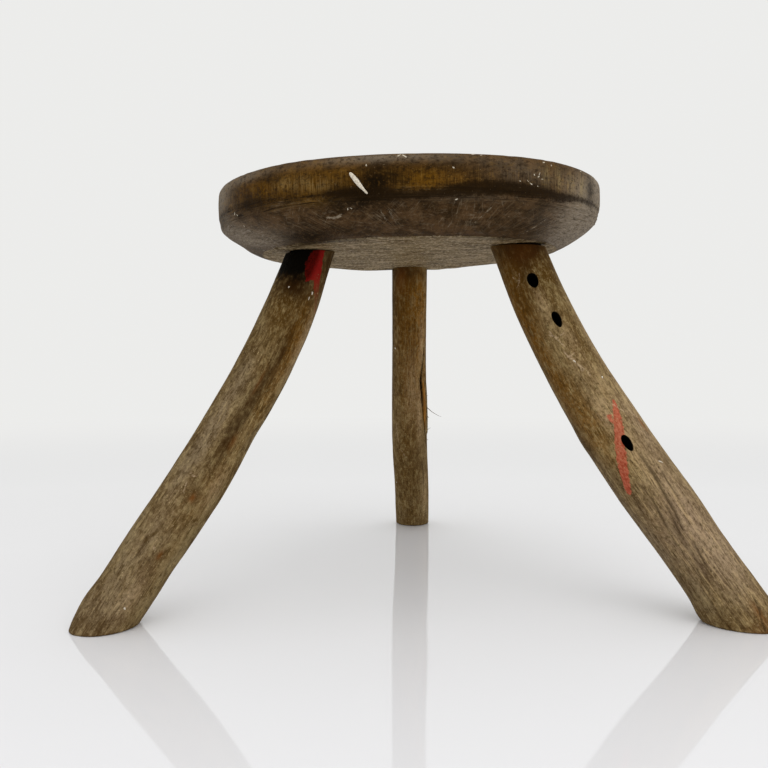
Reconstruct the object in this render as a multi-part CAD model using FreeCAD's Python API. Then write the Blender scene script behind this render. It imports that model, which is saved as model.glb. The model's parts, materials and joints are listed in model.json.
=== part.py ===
"""A low three-legged plank stool, in millimetres, +Z up.

A thick round seat, bevelled underneath, stands on three bent branches. Each branch is shaved to a round
tenon that passes through the seat, and a wooden wedge driven into the tenon's end locks it.
X runs to the right and Y to the back, where the third leg stands. The origin lies on the floor, under the
middle of the whole stool.
"""

import FreeCAD, Part
import os
from math import cos, radians, sin, tan

Vector = FreeCAD.Vector
UP = Vector(0, 0, 1)
FRONT = Vector(0, -1, 0)

# Seat: a thick plank cut round, with its grain along X
seat_diameter = 280.0
seat_thickness = 45.0
seat_underside_height = 249.2
seat_bevel_height = 18.5
seat_bevel_width = 30.0
seat_bevel_bulge = 2.4
seat_top_round = 3.6
seat_side_bulge = 0.8
seat_rise_to_right_deg = 1.0
seat_rise_to_back_deg = 2.5

# Left leg: its place under the seat, where its foot goes and how thick it is
left_socket_inset = 59.6
left_socket_azimuth_deg = 208.6
left_splay = 142.4
left_splay_azimuth_deg = 208.2
left_sway = 1.0
left_diameter = 38.2

# Right leg
right_socket_inset = 49.5
right_socket_azimuth_deg = 324.6
right_splay = 146.4
right_splay_azimuth_deg = 341.6
right_sway = -3.0
right_diameter = 42.4

# Rear leg
rear_socket_inset = 38.5
rear_socket_azimuth_deg = 87.7
rear_splay = 142.0
rear_splay_azimuth_deg = 90.2
rear_sway = -9.0
rear_diameter = 35.0

# Shape of a branch from the seat, share 0, to the floor, share 1, with a spare end past each
drop_shares = (-0.10, 0.0, 0.17, 0.34, 0.50, 0.67, 0.83, 1.0, 1.12)
splay_shares = (-0.068, 0.0, 0.115, 0.258, 0.422, 0.608, 0.799, 1.0, 1.145)
left_sway_shares = (0.0, 0.0, 0.4, 0.8, 1.0, 0.7, 0.3, 0.0, 0.0)
right_sway_shares = (0.0, 0.0, 0.3, 0.7, 1.0, 0.9, 0.4, 0.0, 0.0)
rear_sway_shares = (0.0, 0.0, 0.02, 0.08, 0.22, 0.40, 0.70, 0.90, 1.0)
left_girth_shares = (0.81, 0.83, 0.93, 0.965, 0.96, 1.0, 0.99, 0.95, 0.94)
right_girth_shares = (0.78, 0.79, 0.855, 0.905, 0.955, 1.0, 0.955, 0.965, 0.95)
rear_girth_shares = (0.89, 0.895, 0.89, 0.91, 0.96, 0.98, 1.0, 1.0, 0.98)

# Joint between a leg and the seat
tenon_shoulder = 2.0
tenon_taper = 1.0
tenon_root = 12.0
tenon_set_back = 0.4
tenon_clearance = 0.15
shoulder_gap = 0.1
shoulder_tilt_deg = 2.0

# Wedge in the end of each tenon, and the saw cut that it opens
wedge_length = 27.0
wedge_thickness = 5.0
kerf_width = 1.2
kerf_below_wedge = 9.0

# Worn lower rim of each leg
foot_rim_wear = 1.6

# Beetle holes in the right leg, long along the grain
upper_hole_width = 6.6
upper_hole_length = 9.8
upper_hole_drop_share = 0.112
upper_hole_turn_deg = -8.0
middle_hole_width = 5.0
middle_hole_length = 10.6
middle_hole_drop_share = 0.228
middle_hole_turn_deg = 5.0
lower_hole_width = 4.8
lower_hole_length = 10.2
lower_hole_drop_share = 0.548
lower_hole_turn_deg = 0.0
hole_depth = 15.0

# Long drying split in the rear leg
split_length = 106.0
split_width = 2.6
split_depth = 9.0
split_drop_share = 0.46
split_turn_deg = 56.0

# Overrun for cuts
overrun = 30.0


def heading(azimuth_deg):
    """A level unit vector, turned from +X towards +Y."""
    return Vector(cos(radians(azimuth_deg)), sin(radians(azimuth_deg)), 0)


def unit(vector):
    """The same direction with length one."""
    return Vector(vector).normalize()


def square_to(vector, axis):
    """The part of a vector that is square to an axis, with length one."""
    return unit(vector - axis * vector.dot(axis))


def between(first, second, share):
    """What lies a share of the way from the first to the second."""
    return first * (1 - share) + second * share


seat_normal = unit(Vector(-tan(radians(seat_rise_to_right_deg)), -tan(radians(seat_rise_to_back_deg)), 1))
seat_base = Vector(0, 0, seat_underside_height)


def on_underside(point):
    """The point of the seat's tilted underside straight above or below another."""
    level = Vector(point.x, point.y, seat_underside_height)
    return level - UP * (seat_normal.dot(level - seat_base) / seat_normal.z)


def seat_profile():
    """Half section of the seat: underside, rounded bevel, side and worn top edge."""
    radius = seat_diameter / 2
    bevel_foot = Vector(radius - seat_bevel_width, 0, 0)
    side_foot = Vector(radius, 0, seat_bevel_height)
    side_head = Vector(radius - seat_side_bulge, 0, seat_thickness - seat_top_round)
    round_centre = side_head - Vector(seat_top_round, 0, 0)
    bevel_out = unit(Vector(seat_bevel_height, 0, -seat_bevel_width))
    bevel_middle = between(bevel_foot, side_foot, 1 / 2) + bevel_out * seat_bevel_bulge
    side_middle = between(side_foot, side_head, 1 / 2) + Vector(seat_side_bulge / 2, 0, 0)
    round_middle = round_centre + unit(Vector(1, 0, 1)) * seat_top_round
    top_start = round_centre + UP * seat_top_round
    centre_low = Vector(0, 0, 0)
    centre_high = UP * seat_thickness
    edges = [
        Part.makeLine(centre_low, bevel_foot),
        Part.Arc(bevel_foot, bevel_middle, side_foot).toShape(),
        Part.Arc(side_foot, side_middle, side_head).toShape(),
        Part.Arc(side_head, round_middle, top_start).toShape(),
        Part.makeLine(top_start, centre_high),
        Part.makeLine(centre_high, centre_low),
    ]
    return Part.Face(Part.Wire(edges))


def seat_blank():
    """The whole seat before its sockets are bored, tilted as it stands on its legs."""
    blank = seat_profile().revolve(Vector(0, 0, 0), UP, 360)
    blank.Placement = FreeCAD.Placement(seat_base, FreeCAD.Rotation(UP, seat_normal))
    return blank


def beyond(point, normal):
    """A block that fills the side of a plane that its normal points to, larger than the stool."""
    side = 2 * (seat_diameter + seat_underside_height)
    block = Part.makeBox(side, side, side, Vector(-side / 2, -side / 2, 0))
    block.Placement = FreeCAD.Placement(point, FreeCAD.Rotation(UP, normal))
    return block


class Leg:
    """One bent branch with its joint: a tenon through the seat and the wedge in the tenon's end."""

    def __init__(self, socket_inset, socket_azimuth_deg, splay, splay_azimuth_deg, sway, sway_shares):
        self.top = on_underside(heading(socket_azimuth_deg) * (seat_diameter / 2 - socket_inset))
        self.outward = heading(splay_azimuth_deg)
        below_seat = Vector(self.top.x, self.top.y, 0)
        sideways = UP.cross(self.outward)
        self.points = []
        for drop_share, splay_share, sway_share in zip(drop_shares, splay_shares, sway_shares):
            point = between(self.top, below_seat, drop_share)
            self.points.append(point + self.outward * (splay * splay_share) + sideways * (sway * sway_share))
        self.axis = unit(self.points[0] - self.points[2])
        self.across_grain = square_to(FRONT, self.axis)
        self.through = seat_thickness / self.axis.dot(seat_normal)
        self.end = self.top + self.axis * self.through
        self.radii = []

    def thicken(self, diameter, girth_shares):
        """Gives the branch its radius at each station."""
        self.radii = [diameter / 2 * share for share in girth_shares]
        return self

    def tangent(self, index):
        """The direction of the axis at one station, towards the floor."""
        before = self.points[max(index - 1, 0)]
        after = self.points[min(index + 1, len(self.points) - 1)]
        return unit(after - before)

    def station(self, drop_share):
        """The axis point, the direction down the leg and the radius at a share of the drop."""
        index = max(i for i, share in enumerate(drop_shares[:-1]) if share <= drop_share)
        share = (drop_share - drop_shares[index]) / (drop_shares[index + 1] - drop_shares[index])
        point = between(self.points[index], self.points[index + 1], share)
        down = unit(between(self.tangent(index), self.tangent(index + 1), share))
        return point, down, between(self.radii[index], self.radii[index + 1], share)

    def bark(self, drop_share, turn_deg):
        """A point of the surface with its outward and downward directions, turned from front to right."""
        point, down, radius = self.station(drop_share)
        out = FreeCAD.Rotation(down, -turn_deg).multVec(square_to(FRONT, down))
        return point + out * radius, out, down

    def branch(self):
        """The round branch, longer than needed at both ends."""
        rings = []
        for index, point in enumerate(self.points):
            rings.append(Part.Wire([Part.Circle(point, self.tangent(index), self.radii[index]).toShape()]))
        return Part.makeLoft(rings, True, False)

    def above_shoulder(self):
        """All above the leg's shoulder, which meets the seat at its inner edge and opens outward."""
        tilt = FreeCAD.Rotation(seat_normal.cross(self.outward), shoulder_tilt_deg)
        shoulder_reach = self.radii[1] / cos(self.axis.getAngle(seat_normal))
        inner_edge = on_underside(self.top - self.outward * shoulder_reach)
        return beyond(inner_edge - seat_normal * shoulder_gap, tilt.multVec(seat_normal))

    def above_end(self):
        """All above the plane that trims the tenon and its wedge, just under the seat's top."""
        return beyond(seat_base + seat_normal * (seat_thickness - tenon_set_back), seat_normal)

    def tenon(self, clearance):
        """The tapered tenon from its root inside the leg, or its socket if given a clearance."""
        slope = tenon_taper / self.through
        length = tenon_root + self.through + overrun
        root_radius = self.radii[1] - tenon_shoulder + slope * tenon_root + clearance
        root = self.top - self.axis * tenon_root
        return Part.makeCone(root_radius, root_radius - slope * length, length, root, self.axis)

    def tongue(self, near, near_thickness, far, far_thickness):
        """A tapered plate down the middle of the tenon, between two depths below its end."""
        thick = self.across_grain.cross(self.axis)
        width = 2 * (self.radii[1] + overrun)
        near_point = self.end - self.axis * near
        far_point = self.end - self.axis * far
        corners = [
            near_point - thick * (near_thickness / 2),
            near_point + thick * (near_thickness / 2),
            far_point + thick * (far_thickness / 2),
            far_point - thick * (far_thickness / 2),
        ]
        outline = Part.makePolygon(corners + corners[:1])
        outline.translate(self.across_grain * (-width / 2))
        return Part.Face(outline).extrude(self.across_grain * width)

    def wedge_blank(self):
        """The wedge, too long and too wide, with its thin end down the kerf."""
        slope = (wedge_thickness - kerf_width) / wedge_length
        return self.tongue(-overrun, wedge_thickness + slope * overrun, wedge_length, kerf_width)

    def kerf(self):
        """The saw cut that is left open under the wedge."""
        return self.tongue(wedge_length, kerf_width, wedge_length + kerf_below_wedge, kerf_width)

    def wedge(self):
        """The wedge, as wide as the tenon and flush with its end."""
        return self.wedge_blank().common(self.tenon(0)).cut(self.above_end())

    def solid(self):
        """The leg with its worn foot and slotted tenon."""
        body = self.branch().cut(self.above_shoulder()).cut(beyond(Vector(0, 0, 0), -UP))
        rim = [edge for edge in body.Edges if edge.BoundBox.ZMax < foot_rim_wear]
        body = body.makeChamfer(foot_rim_wear, rim)
        body = body.fuse(self.tenon(0).cut(self.above_end()))
        return body.cut(self.wedge_blank()).cut(self.kerf())


def beetle_hole(leg, width, length, drop_share, turn_deg):
    """A blind oval bore, long along the grain."""
    mouth, out, down = leg.bark(drop_share, turn_deg)
    floor = mouth - out * hole_depth
    oval = Part.Ellipse(floor + down * (length / 2), floor + out.cross(down) * (width / 2), floor)
    return Part.Face(Part.Wire([oval.toShape()])).extrude(out * (hole_depth + overrun))


def drying_split(leg):
    """A long slit that closes to a point at both ends."""
    mouth, out, down = leg.bark(split_drop_share, split_turn_deg)
    floor = mouth - out * split_depth
    side = out.cross(down)
    upper = floor - down * (split_length / 2)
    lower = floor + down * (split_length / 2)
    right = Part.Arc(upper, floor + side * (split_width / 2), lower).toShape()
    left = Part.Arc(lower, floor - side * (split_width / 2), upper).toShape()
    return Part.Face(Part.Wire([right, left])).extrude(out * (split_depth + overrun))


def make_legs():
    """The three legs by name."""
    left_place = (left_socket_inset, left_socket_azimuth_deg, left_splay, left_splay_azimuth_deg)
    right_place = (right_socket_inset, right_socket_azimuth_deg, right_splay, right_splay_azimuth_deg)
    rear_place = (rear_socket_inset, rear_socket_azimuth_deg, rear_splay, rear_splay_azimuth_deg)
    return {
        "left_leg": Leg(*left_place, left_sway, left_sway_shares).thicken(left_diameter, left_girth_shares),
        "right_leg": Leg(*right_place, right_sway, right_sway_shares).thicken(right_diameter, right_girth_shares),
        "rear_leg": Leg(*rear_place, rear_sway, rear_sway_shares).thicken(rear_diameter, rear_girth_shares),
    }


def make_pieces(legs):
    """Every piece of the stool by name, with the seat's middle over the origin."""
    pieces = {"seat": seat_blank()}
    for name, leg in legs.items():
        pieces["seat"] = pieces["seat"].cut(leg.tenon(tenon_clearance))
        pieces[name] = leg.solid()
        pieces[name + "_wedge"] = leg.wedge()
    holes = (
        (upper_hole_width, upper_hole_length, upper_hole_drop_share, upper_hole_turn_deg),
        (middle_hole_width, middle_hole_length, middle_hole_drop_share, middle_hole_turn_deg),
        (lower_hole_width, lower_hole_length, lower_hole_drop_share, lower_hole_turn_deg),
    )
    for hole in holes:
        pieces["right_leg"] = pieces["right_leg"].cut(beetle_hole(legs["right_leg"], *hole))
    pieces["rear_leg"] = pieces["rear_leg"].cut(drying_split(legs["rear_leg"]))
    return pieces


def main():
    """Moves the stool over the origin and writes one file per piece."""
    os.makedirs("parts", exist_ok=True)
    pieces = make_pieces(make_legs())
    box = FreeCAD.BoundBox()
    for shape in pieces.values():
        box.add(shape.optimalBoundingBox())
    for name, shape in pieces.items():
        shape.translate(Vector(-box.Center.x, -box.Center.y, -box.ZMin))
        print(name, "valid", shape.isValid(), "solids", len(shape.Solids), "volume", round(shape.Volume))
        shape.exportStep(os.path.join("parts", name + ".step"))


main()
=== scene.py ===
"""The looks of a low three-legged plank stool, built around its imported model.

Shapes are worked out in millimetres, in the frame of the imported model, and turned into metres when a mesh
is made. Places on the seat are given as a turn, from the front towards the right in degrees, and a run, the
distance along its half section from the middle of the underside. Places on a leg are given as the distance
down its axis from the seat and a turn round it.
"""

import itertools
import json
from math import cos, degrees, pi, radians, sin

import bmesh
import bpy
import numpy as np
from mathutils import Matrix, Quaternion, Vector
from mathutils.bvhtree import BVHTree


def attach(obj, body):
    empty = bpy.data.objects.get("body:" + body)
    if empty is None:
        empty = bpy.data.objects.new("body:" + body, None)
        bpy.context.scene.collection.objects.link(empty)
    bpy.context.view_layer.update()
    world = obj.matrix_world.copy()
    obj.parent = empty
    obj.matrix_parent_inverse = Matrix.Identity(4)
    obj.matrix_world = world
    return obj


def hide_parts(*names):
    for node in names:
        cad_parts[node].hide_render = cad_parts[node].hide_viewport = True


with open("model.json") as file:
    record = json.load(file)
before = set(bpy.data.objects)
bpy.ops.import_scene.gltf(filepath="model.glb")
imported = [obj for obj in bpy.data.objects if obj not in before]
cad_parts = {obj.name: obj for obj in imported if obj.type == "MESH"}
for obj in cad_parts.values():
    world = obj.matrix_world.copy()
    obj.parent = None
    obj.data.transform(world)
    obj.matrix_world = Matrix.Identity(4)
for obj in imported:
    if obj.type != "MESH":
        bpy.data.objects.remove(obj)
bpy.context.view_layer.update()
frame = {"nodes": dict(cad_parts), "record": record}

MILLIMETRE = 0.001
UP = Vector((0, 0, 1))
FRONT = Vector((0, -1, 0))

# Seat
seat_diameter = 280.0
seat_thickness = 45.0
seat_bevel_height = 18.5
seat_bevel_width = 30.0
seat_bevel_bulge = 2.4
seat_top_round = 3.6
seat_side_bulge = 0.8
seat_side_swell = 0.2

# Legs: place of the socket, reach of the foot, sway and thickness
leg_sizes = {
    "left_leg": dict(inset=59.6, socket=208.6, splay=142.4, heading=208.2, sway=1.0, diameter=38.2),
    "right_leg": dict(inset=49.5, socket=324.6, splay=146.4, heading=341.6, sway=-3.0, diameter=42.4),
    "rear_leg": dict(inset=38.5, socket=87.7, splay=142.0, heading=90.2, sway=-9.0, diameter=35.0),
}
drop_shares = (-0.10, 0.0, 0.17, 0.34, 0.50, 0.67, 0.83, 1.0, 1.12)
splay_shares = (-0.068, 0.0, 0.115, 0.258, 0.422, 0.608, 0.799, 1.0, 1.145)
sway_shares = {
    "left_leg": (0.0, 0.0, 0.4, 0.8, 1.0, 0.7, 0.3, 0.0, 0.0),
    "right_leg": (0.0, 0.0, 0.3, 0.7, 1.0, 0.9, 0.4, 0.0, 0.0),
    "rear_leg": (0.0, 0.0, 0.02, 0.08, 0.22, 0.4, 0.7, 0.9, 1.0),
}
girth_shares = {
    "left_leg": (0.81, 0.83, 0.93, 0.965, 0.96, 1.0, 0.99, 0.95, 0.94),
    "right_leg": (0.78, 0.79, 0.855, 0.905, 0.955, 1.0, 0.955, 0.965, 0.95),
    "rear_leg": (0.89, 0.895, 0.89, 0.91, 0.96, 0.98, 1.0, 1.0, 0.98),
}

# Joint between a leg and the seat
tenon_shoulder = 2.0
tenon_taper = 1.0
tenon_set_back = 0.4
tenon_clearance = 0.15
shoulder_gap = 0.1
shoulder_tilt = 2.0
wedge_length = 27.0
wedge_thickness = 5.0
kerf_width = 1.2
kerf_below_wedge = 9.0
overrun = 30.0

# Worn lower rim of each leg
foot_rim_wear = 1.2

# Where a leg has rings of vertices on its sole, its tenon and the tenon's end
sole_shares = (0.12, 0.35, 0.6, 0.82, 0.95, 1.0)
tenon_shares = (0.3, 0.65, 0.95)
tenon_end_shares = (1.0, 0.9, 0.7, 0.45, 0.2)

# What old branch wood lets through of red, green and blue where it isn't grey
branch_yellowing = (1.0, 1.0, 0.87, 1.0)

# How finely the meshes and the legs' axes are divided, and the angle from which an edge is sharp
sharp_angle = 50.0
seat_flat_step = 2.5
seat_edge_step = 1.6
seat_segments = 1024
seat_softenings = 3
seat_round_steps = 5
leg_step = 1.0
leg_segments = 256
socket_segments = 96
hole_segments = 48
paint_segments = 12
paint_steps = 4
fibre_segments = 8
fibre_steps = 12
axis_steps = 900
crossing_steps = 700
locate_block = 4000

# Runs where the seat's half section changes
seat_ridge_run = 145.6
seat_side_run = 150.5
seat_round_run = 168.5
seat_top_run = 174.2
seat_full_run = 309.8

# How far before and after these runs the places of the seat blend into one another
underside_blend = 0.9
ridge_blend = 1.2
round_blend = (1.0, 5.0)

# How far from these runs the seat's colours change, and the reach of its ridge's dark marks
underside_colour_edges = (-0.3, 0.3)
ridge_colour_edges = (-2, 1)
ridge_colour_swing = 3
round_colour_edges = (2, 5)
side_grain_fade = 9
shelf_reaches = (5, 4)

# How far inside the seat's outer surfaces the painted shade of its sockets begins: aside, over the
# underside and under the top
socket_shade_margins = (2.0, 1.2, 1.6)

# Colours of the seat, as soft spots by run and turn, and its dark line as a stroke
seat_gold = (
    (159, -38, 10, 11, 0.9), (157, -22, 9, 8, 1.0), (149, -25, 5, 5, 0.9), (156, 2, 8, 9, 0.8),
    (161, 42, 8, 6, 0.3), (160, 51, 8, 5, 0.45), (159, 120, 12, 22, 0.8), (158, 205, 12, 26, 0.8),
)
# Grey spots are worn grey wood; those at the rim's left and right ends and along its top edge are partly a
# painted sheen
seat_grey = (
    (170, -8, 3.2, 16, 0.65), (168, 16, 4.0, 12, 0.15), (162, 28, 8, 10, 0.3), (164, -68, 12, 9, 0.8),
    (169, -50, 3, 14, 0.5), (160, 70, 16, 12, 1.0), (150, 84, 30, 14, 1.0), (150, -86, 30, 10, 0.6),
    (136, 74, 20, 16, 1.0), (159, 54, 10, 12, 0.6), (142, 54, 12, 12, 0.6), (120, -56, 12, 14, 0.7),
    (134, -68, 14, 12, 0.8), (126, 62, 22, 15, 1.0), (146, 12, 3, 12, 0.2), (165, 100, 12, 12, 0.6),
    (166, 74, 10, 16, 0.5), (170, 160, 5, 40, 0.7), (166, 240, 10, 20, 0.6),
)
seat_dark = (
    (156, -9.5, 8.5, 6, 1.0), (165, -2, 5, 5, 0.3), (165, -39, 4, 5, 0.6), (155, -46, 5, 7, 0.4),
    (153, -32, 3, 10, 0.25), (165, 17, 5, 13, 0.4), (153, 19, 4, 6, 0.3), (152, -17, 4, 4, 0.45),
    (143, -15, 7, 9, 0.7), (118, -34, 9, 14, 0.9), (106, -34, 5, 16, 0.8), (106, 30, 5, 12, 0.5),
    (122, 36, 14, 10, 0.5), (148, -70, 6, 6, 0.45), (160, 58, 10, 3.5, 0.8), (150, -49, 4, 9, 0.6),
    (144, 6, 5, 24, 0.25), (156, 30, 5, 8, 0.45), (153, 42, 3.5, 10, 0.2), (156, 150, 8, 12, 0.6),
    (154, 250, 8, 12, 0.6),
)
seat_pale = (
    (162, 35.5, 6, 1.2, 0.5), (161, 40, 6, 1.4, 0.7), (160, 46, 7, 1.6, 0.6), (160, 52, 8, 2.2, 0.7),
    (160, -33, 4, 5, 0.3), (156, -25, 4, 5, 0.3), (158, 140, 8, 4, 0.4), (160, 222, 8, 5, 0.4),
)
seat_dark_line = (
    (152, -80, 0.1), (153, -48, 0.5), (150, -30, 0.3), (150.4, -18, 2.4), (148.4, -8, 3.2),
    (147.0, -1, 2.6), (148.6, 6, 3.2), (151.6, 14, 4.2), (152.6, 22, 4.2), (151.8, 31, 3.9), (151, 41, 2.6),
    (152, 52, 1.4), (152, 72, 0.1),
)

# Broad unevenness of the rim: run, turn, reach, reach round and depth
seat_form = (
    (177, -82, 13, 52, -1.9), (177, 82, 13, 46, -1.6), (175, 0, 11, 48, -0.4), (158, -84, 12, 44, -1.0),
    (158, 84, 12, 42, -0.9), (170, -94, 5, 14, 1.3), (128, 84, 14, 20, 0.8), (114, -74, 8, 16, 0.9),
    (130, -82, 6, 20, 1.4), (175, -34, 11, 16, -0.6), (175, 33, 11, 14, -0.6), (104, 198, 12, 14, -1.7),
    (104, 163, 12, 12, -1.8),
)

# Chips and dents: run, turn, reach, reach round and depth
seat_relief = (
    (108, -57, 3.0, 1.5, 1.8), (110, -44, 3.0, 3.0, 0.7), (108, 55, 4.0, 7.0, 0.9),
    (147, 78, 7.0, 15.0, 1.9), (147, -70, 3.0, 5.0, 0.5), (114.6, 64, 1.2, 0.7, 1.2),
    (118.5, 66, 1.0, 0.6, 1.0), (170, 24, 2.0, 1.6, 0.6), (171, -27, 2.0, 1.0, 0.5),
    (170, 130, 2.6, 2.6, 1.0), (149, 190, 3.0, 5.0, 0.9), (171, 255, 2.4, 2.0, 0.9),
    (108, 160, 3.0, 2.0, 1.2),
)

# Brushed patches of the bevel, the slant of their strokes and the turn where it reverses
brush_slant = 0.9
brush_turn = 12.0
brush_turning = 3.0
seat_brushed = (
    (131, -8, 9, 5, 0.8), (128, -27, 10, 7, 0.7), (120, -50, 12, 10, 0.8), (128, 20, 12, 8, 0.5),
    (124, 42, 16, 10, 0.9), (128, 100, 14, 16, 0.7), (128, 190, 14, 20, 0.7), (128, 260, 14, 16, 0.7),
)

# Pale scratches on the bevel, by run, turn and half width
seat_scratches = (
    ((137, -9, 0.4), (124, -7, 0.1)), ((138.6, -7, 0.3), (124, -5, 0.1)),
    ((134.8, -24, 0.3), (133.5, -22, 0.8), (134.4, -20.4, 0.7), (136.4, -19, 0.1)),
    ((117, 37, 0.0), (126, 38.6, 0.15), (134, 40, 0.0)), ((123, -51, 0.4), (112, -53, 0.2)),
    ((136, -58, 0.2), (122, -51, 0.4)), ((114, 57, 0.1), (131, 48, 0.1)), ((122, 16, 0.0), (140, 20, 0.05)),
    ((119, -66, 0.2), (110, -58, 0.4)), ((141, -80, 0.2), (139, -66, 0.4), (134, -56, 0.1)),
    ((130, -74, 0.3), (124, -62, 0.5), (116, -55, 0.2)),
    ((127, -66, 0.1), (121, -56, 0.4), (112, -50, 0.1)), ((112, -72, 0.4), (109, -60, 0.5)),
    ((139, 60, 0.1), (131, 64, 0.4), (121, 62, 0.1)), ((133, 50, 0.2), (138, 58, 0.4), (137, 70, 0.1)),
    ((118, 52, 0.2), (124, 60, 0.4), (122, 70, 0.1)), ((120, 150, 0.3), (138, 158, 0.4)),
    ((116, 215, 0.3), (134, 208, 0.4)), ((210, 40, 0.2), (200, 66, 0.5), (214, 78, 0.2)),
    ((250, -30, 0.2), (236, 10, 0.4), (232, 16, 0.2)), ((222, 196, 0.2), (206, 210, 0.5), (200, 222, 0.2)),
)

# White paint: a drip by run, turn and half width, and specks by place, turn, half width, reach and lean
paint_drip = (
    (162.1, -16.0, 0.9), (159.8, -15.2, 1.25), (157.0, -14.3, 1.45), (154.1, -13.4, 1.2),
    (151.2, -12.4, 0.7), (149.0, -11.6, 0.65),
)
paint_specks = (
    (171.1, -3.8, 0.5, 1.6, 50), (170.4, -2.6, 0.45, 2.0, -50), (165.6, -11.8, 0.45, 0.7, 0),
    (163.2, 9.2, 0.4, 0.8, -60), (144.2, 10, 0.45, 0.9, 70), (172.4, 14.6, 0.45, 1.6, 80),
    (171.8, 16.6, 0.4, 1.2, 60), (170.2, 35, 0.4, 1.2, 80), (169.2, 37.6, 0.4, 0.7, 0),
    (162.0, 31.5, 0.38, 0.7, -20), (163.2, 33.2, 0.28, 1.6, 20), (161.2, 32.9, 0.4, 0.8, 60),
    (160.0, 34.2, 0.25, 1.2, 80), (157.4, 27.0, 0.32, 0.6, -35), (156.4, 30.4, 0.36, 1.4, -65),
    (158.0, 29.4, 0.25, 1.5, -50), (155.4, 32.6, 0.3, 0.5, 0), (170.4, 52, 0.4, 0.9, 60),
    (148.8, -57, 0.45, 1.2, 20), (147.4, -55.6, 0.4, 1.0, -50), (139.4, -17.3, 0.35, 1.2, 20),
    (139.8, -16.4, 0.3, 1.1, -50), (138.2, -56, 0.5, 0.6, 0), (176, -100, 0.9, 1.4, 30),
    (182, 150, 0.8, 2.4, 70), (196, 60, 1.1, 1.0, 0), (204, 62, 0.6, 2.6, -30), (160, 128, 0.7, 1.8, 15),
    (158, 236, 0.8, 1.2, -45), (240, -60, 0.7, 2.2, 50), (232, 20, 0.9, 1.1, 0),
)
leg_specks = {
    "left_leg": (
        (31.5, 44, 0.6, 1.2, 10), (33.9, -13, 0.5, 0.7, 0), (267, 23, 0.6, 0.8, 60), (36, 40, 0.4, 1.5, 0),
    ),
    "right_leg": ((91, -3, 0.45, 1.2, 20), (109, 30, 0.5, 1.0, -40), (174, 33, 0.38, 1.9, 40)),
    "rear_leg": ((71.7, -55, 0.9, 0.8, 0), (226, -62, 0.7, 0.7, 0), (150, 190, 0.8, 1.6, 20)),
}

# Place and width of a speck's sections as shares, and how much it bows
speck_sections = ((-1.0, 0.55), (-0.4, 1.0), (0.3, 0.8), (1.0, 0.45))
speck_bow_share = 0.3
paint_thickness = 0.35
paint_rise_share = 0.55
paint_least = 0.02
paint_sink = 0.1
paint_end_power = 12
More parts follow.
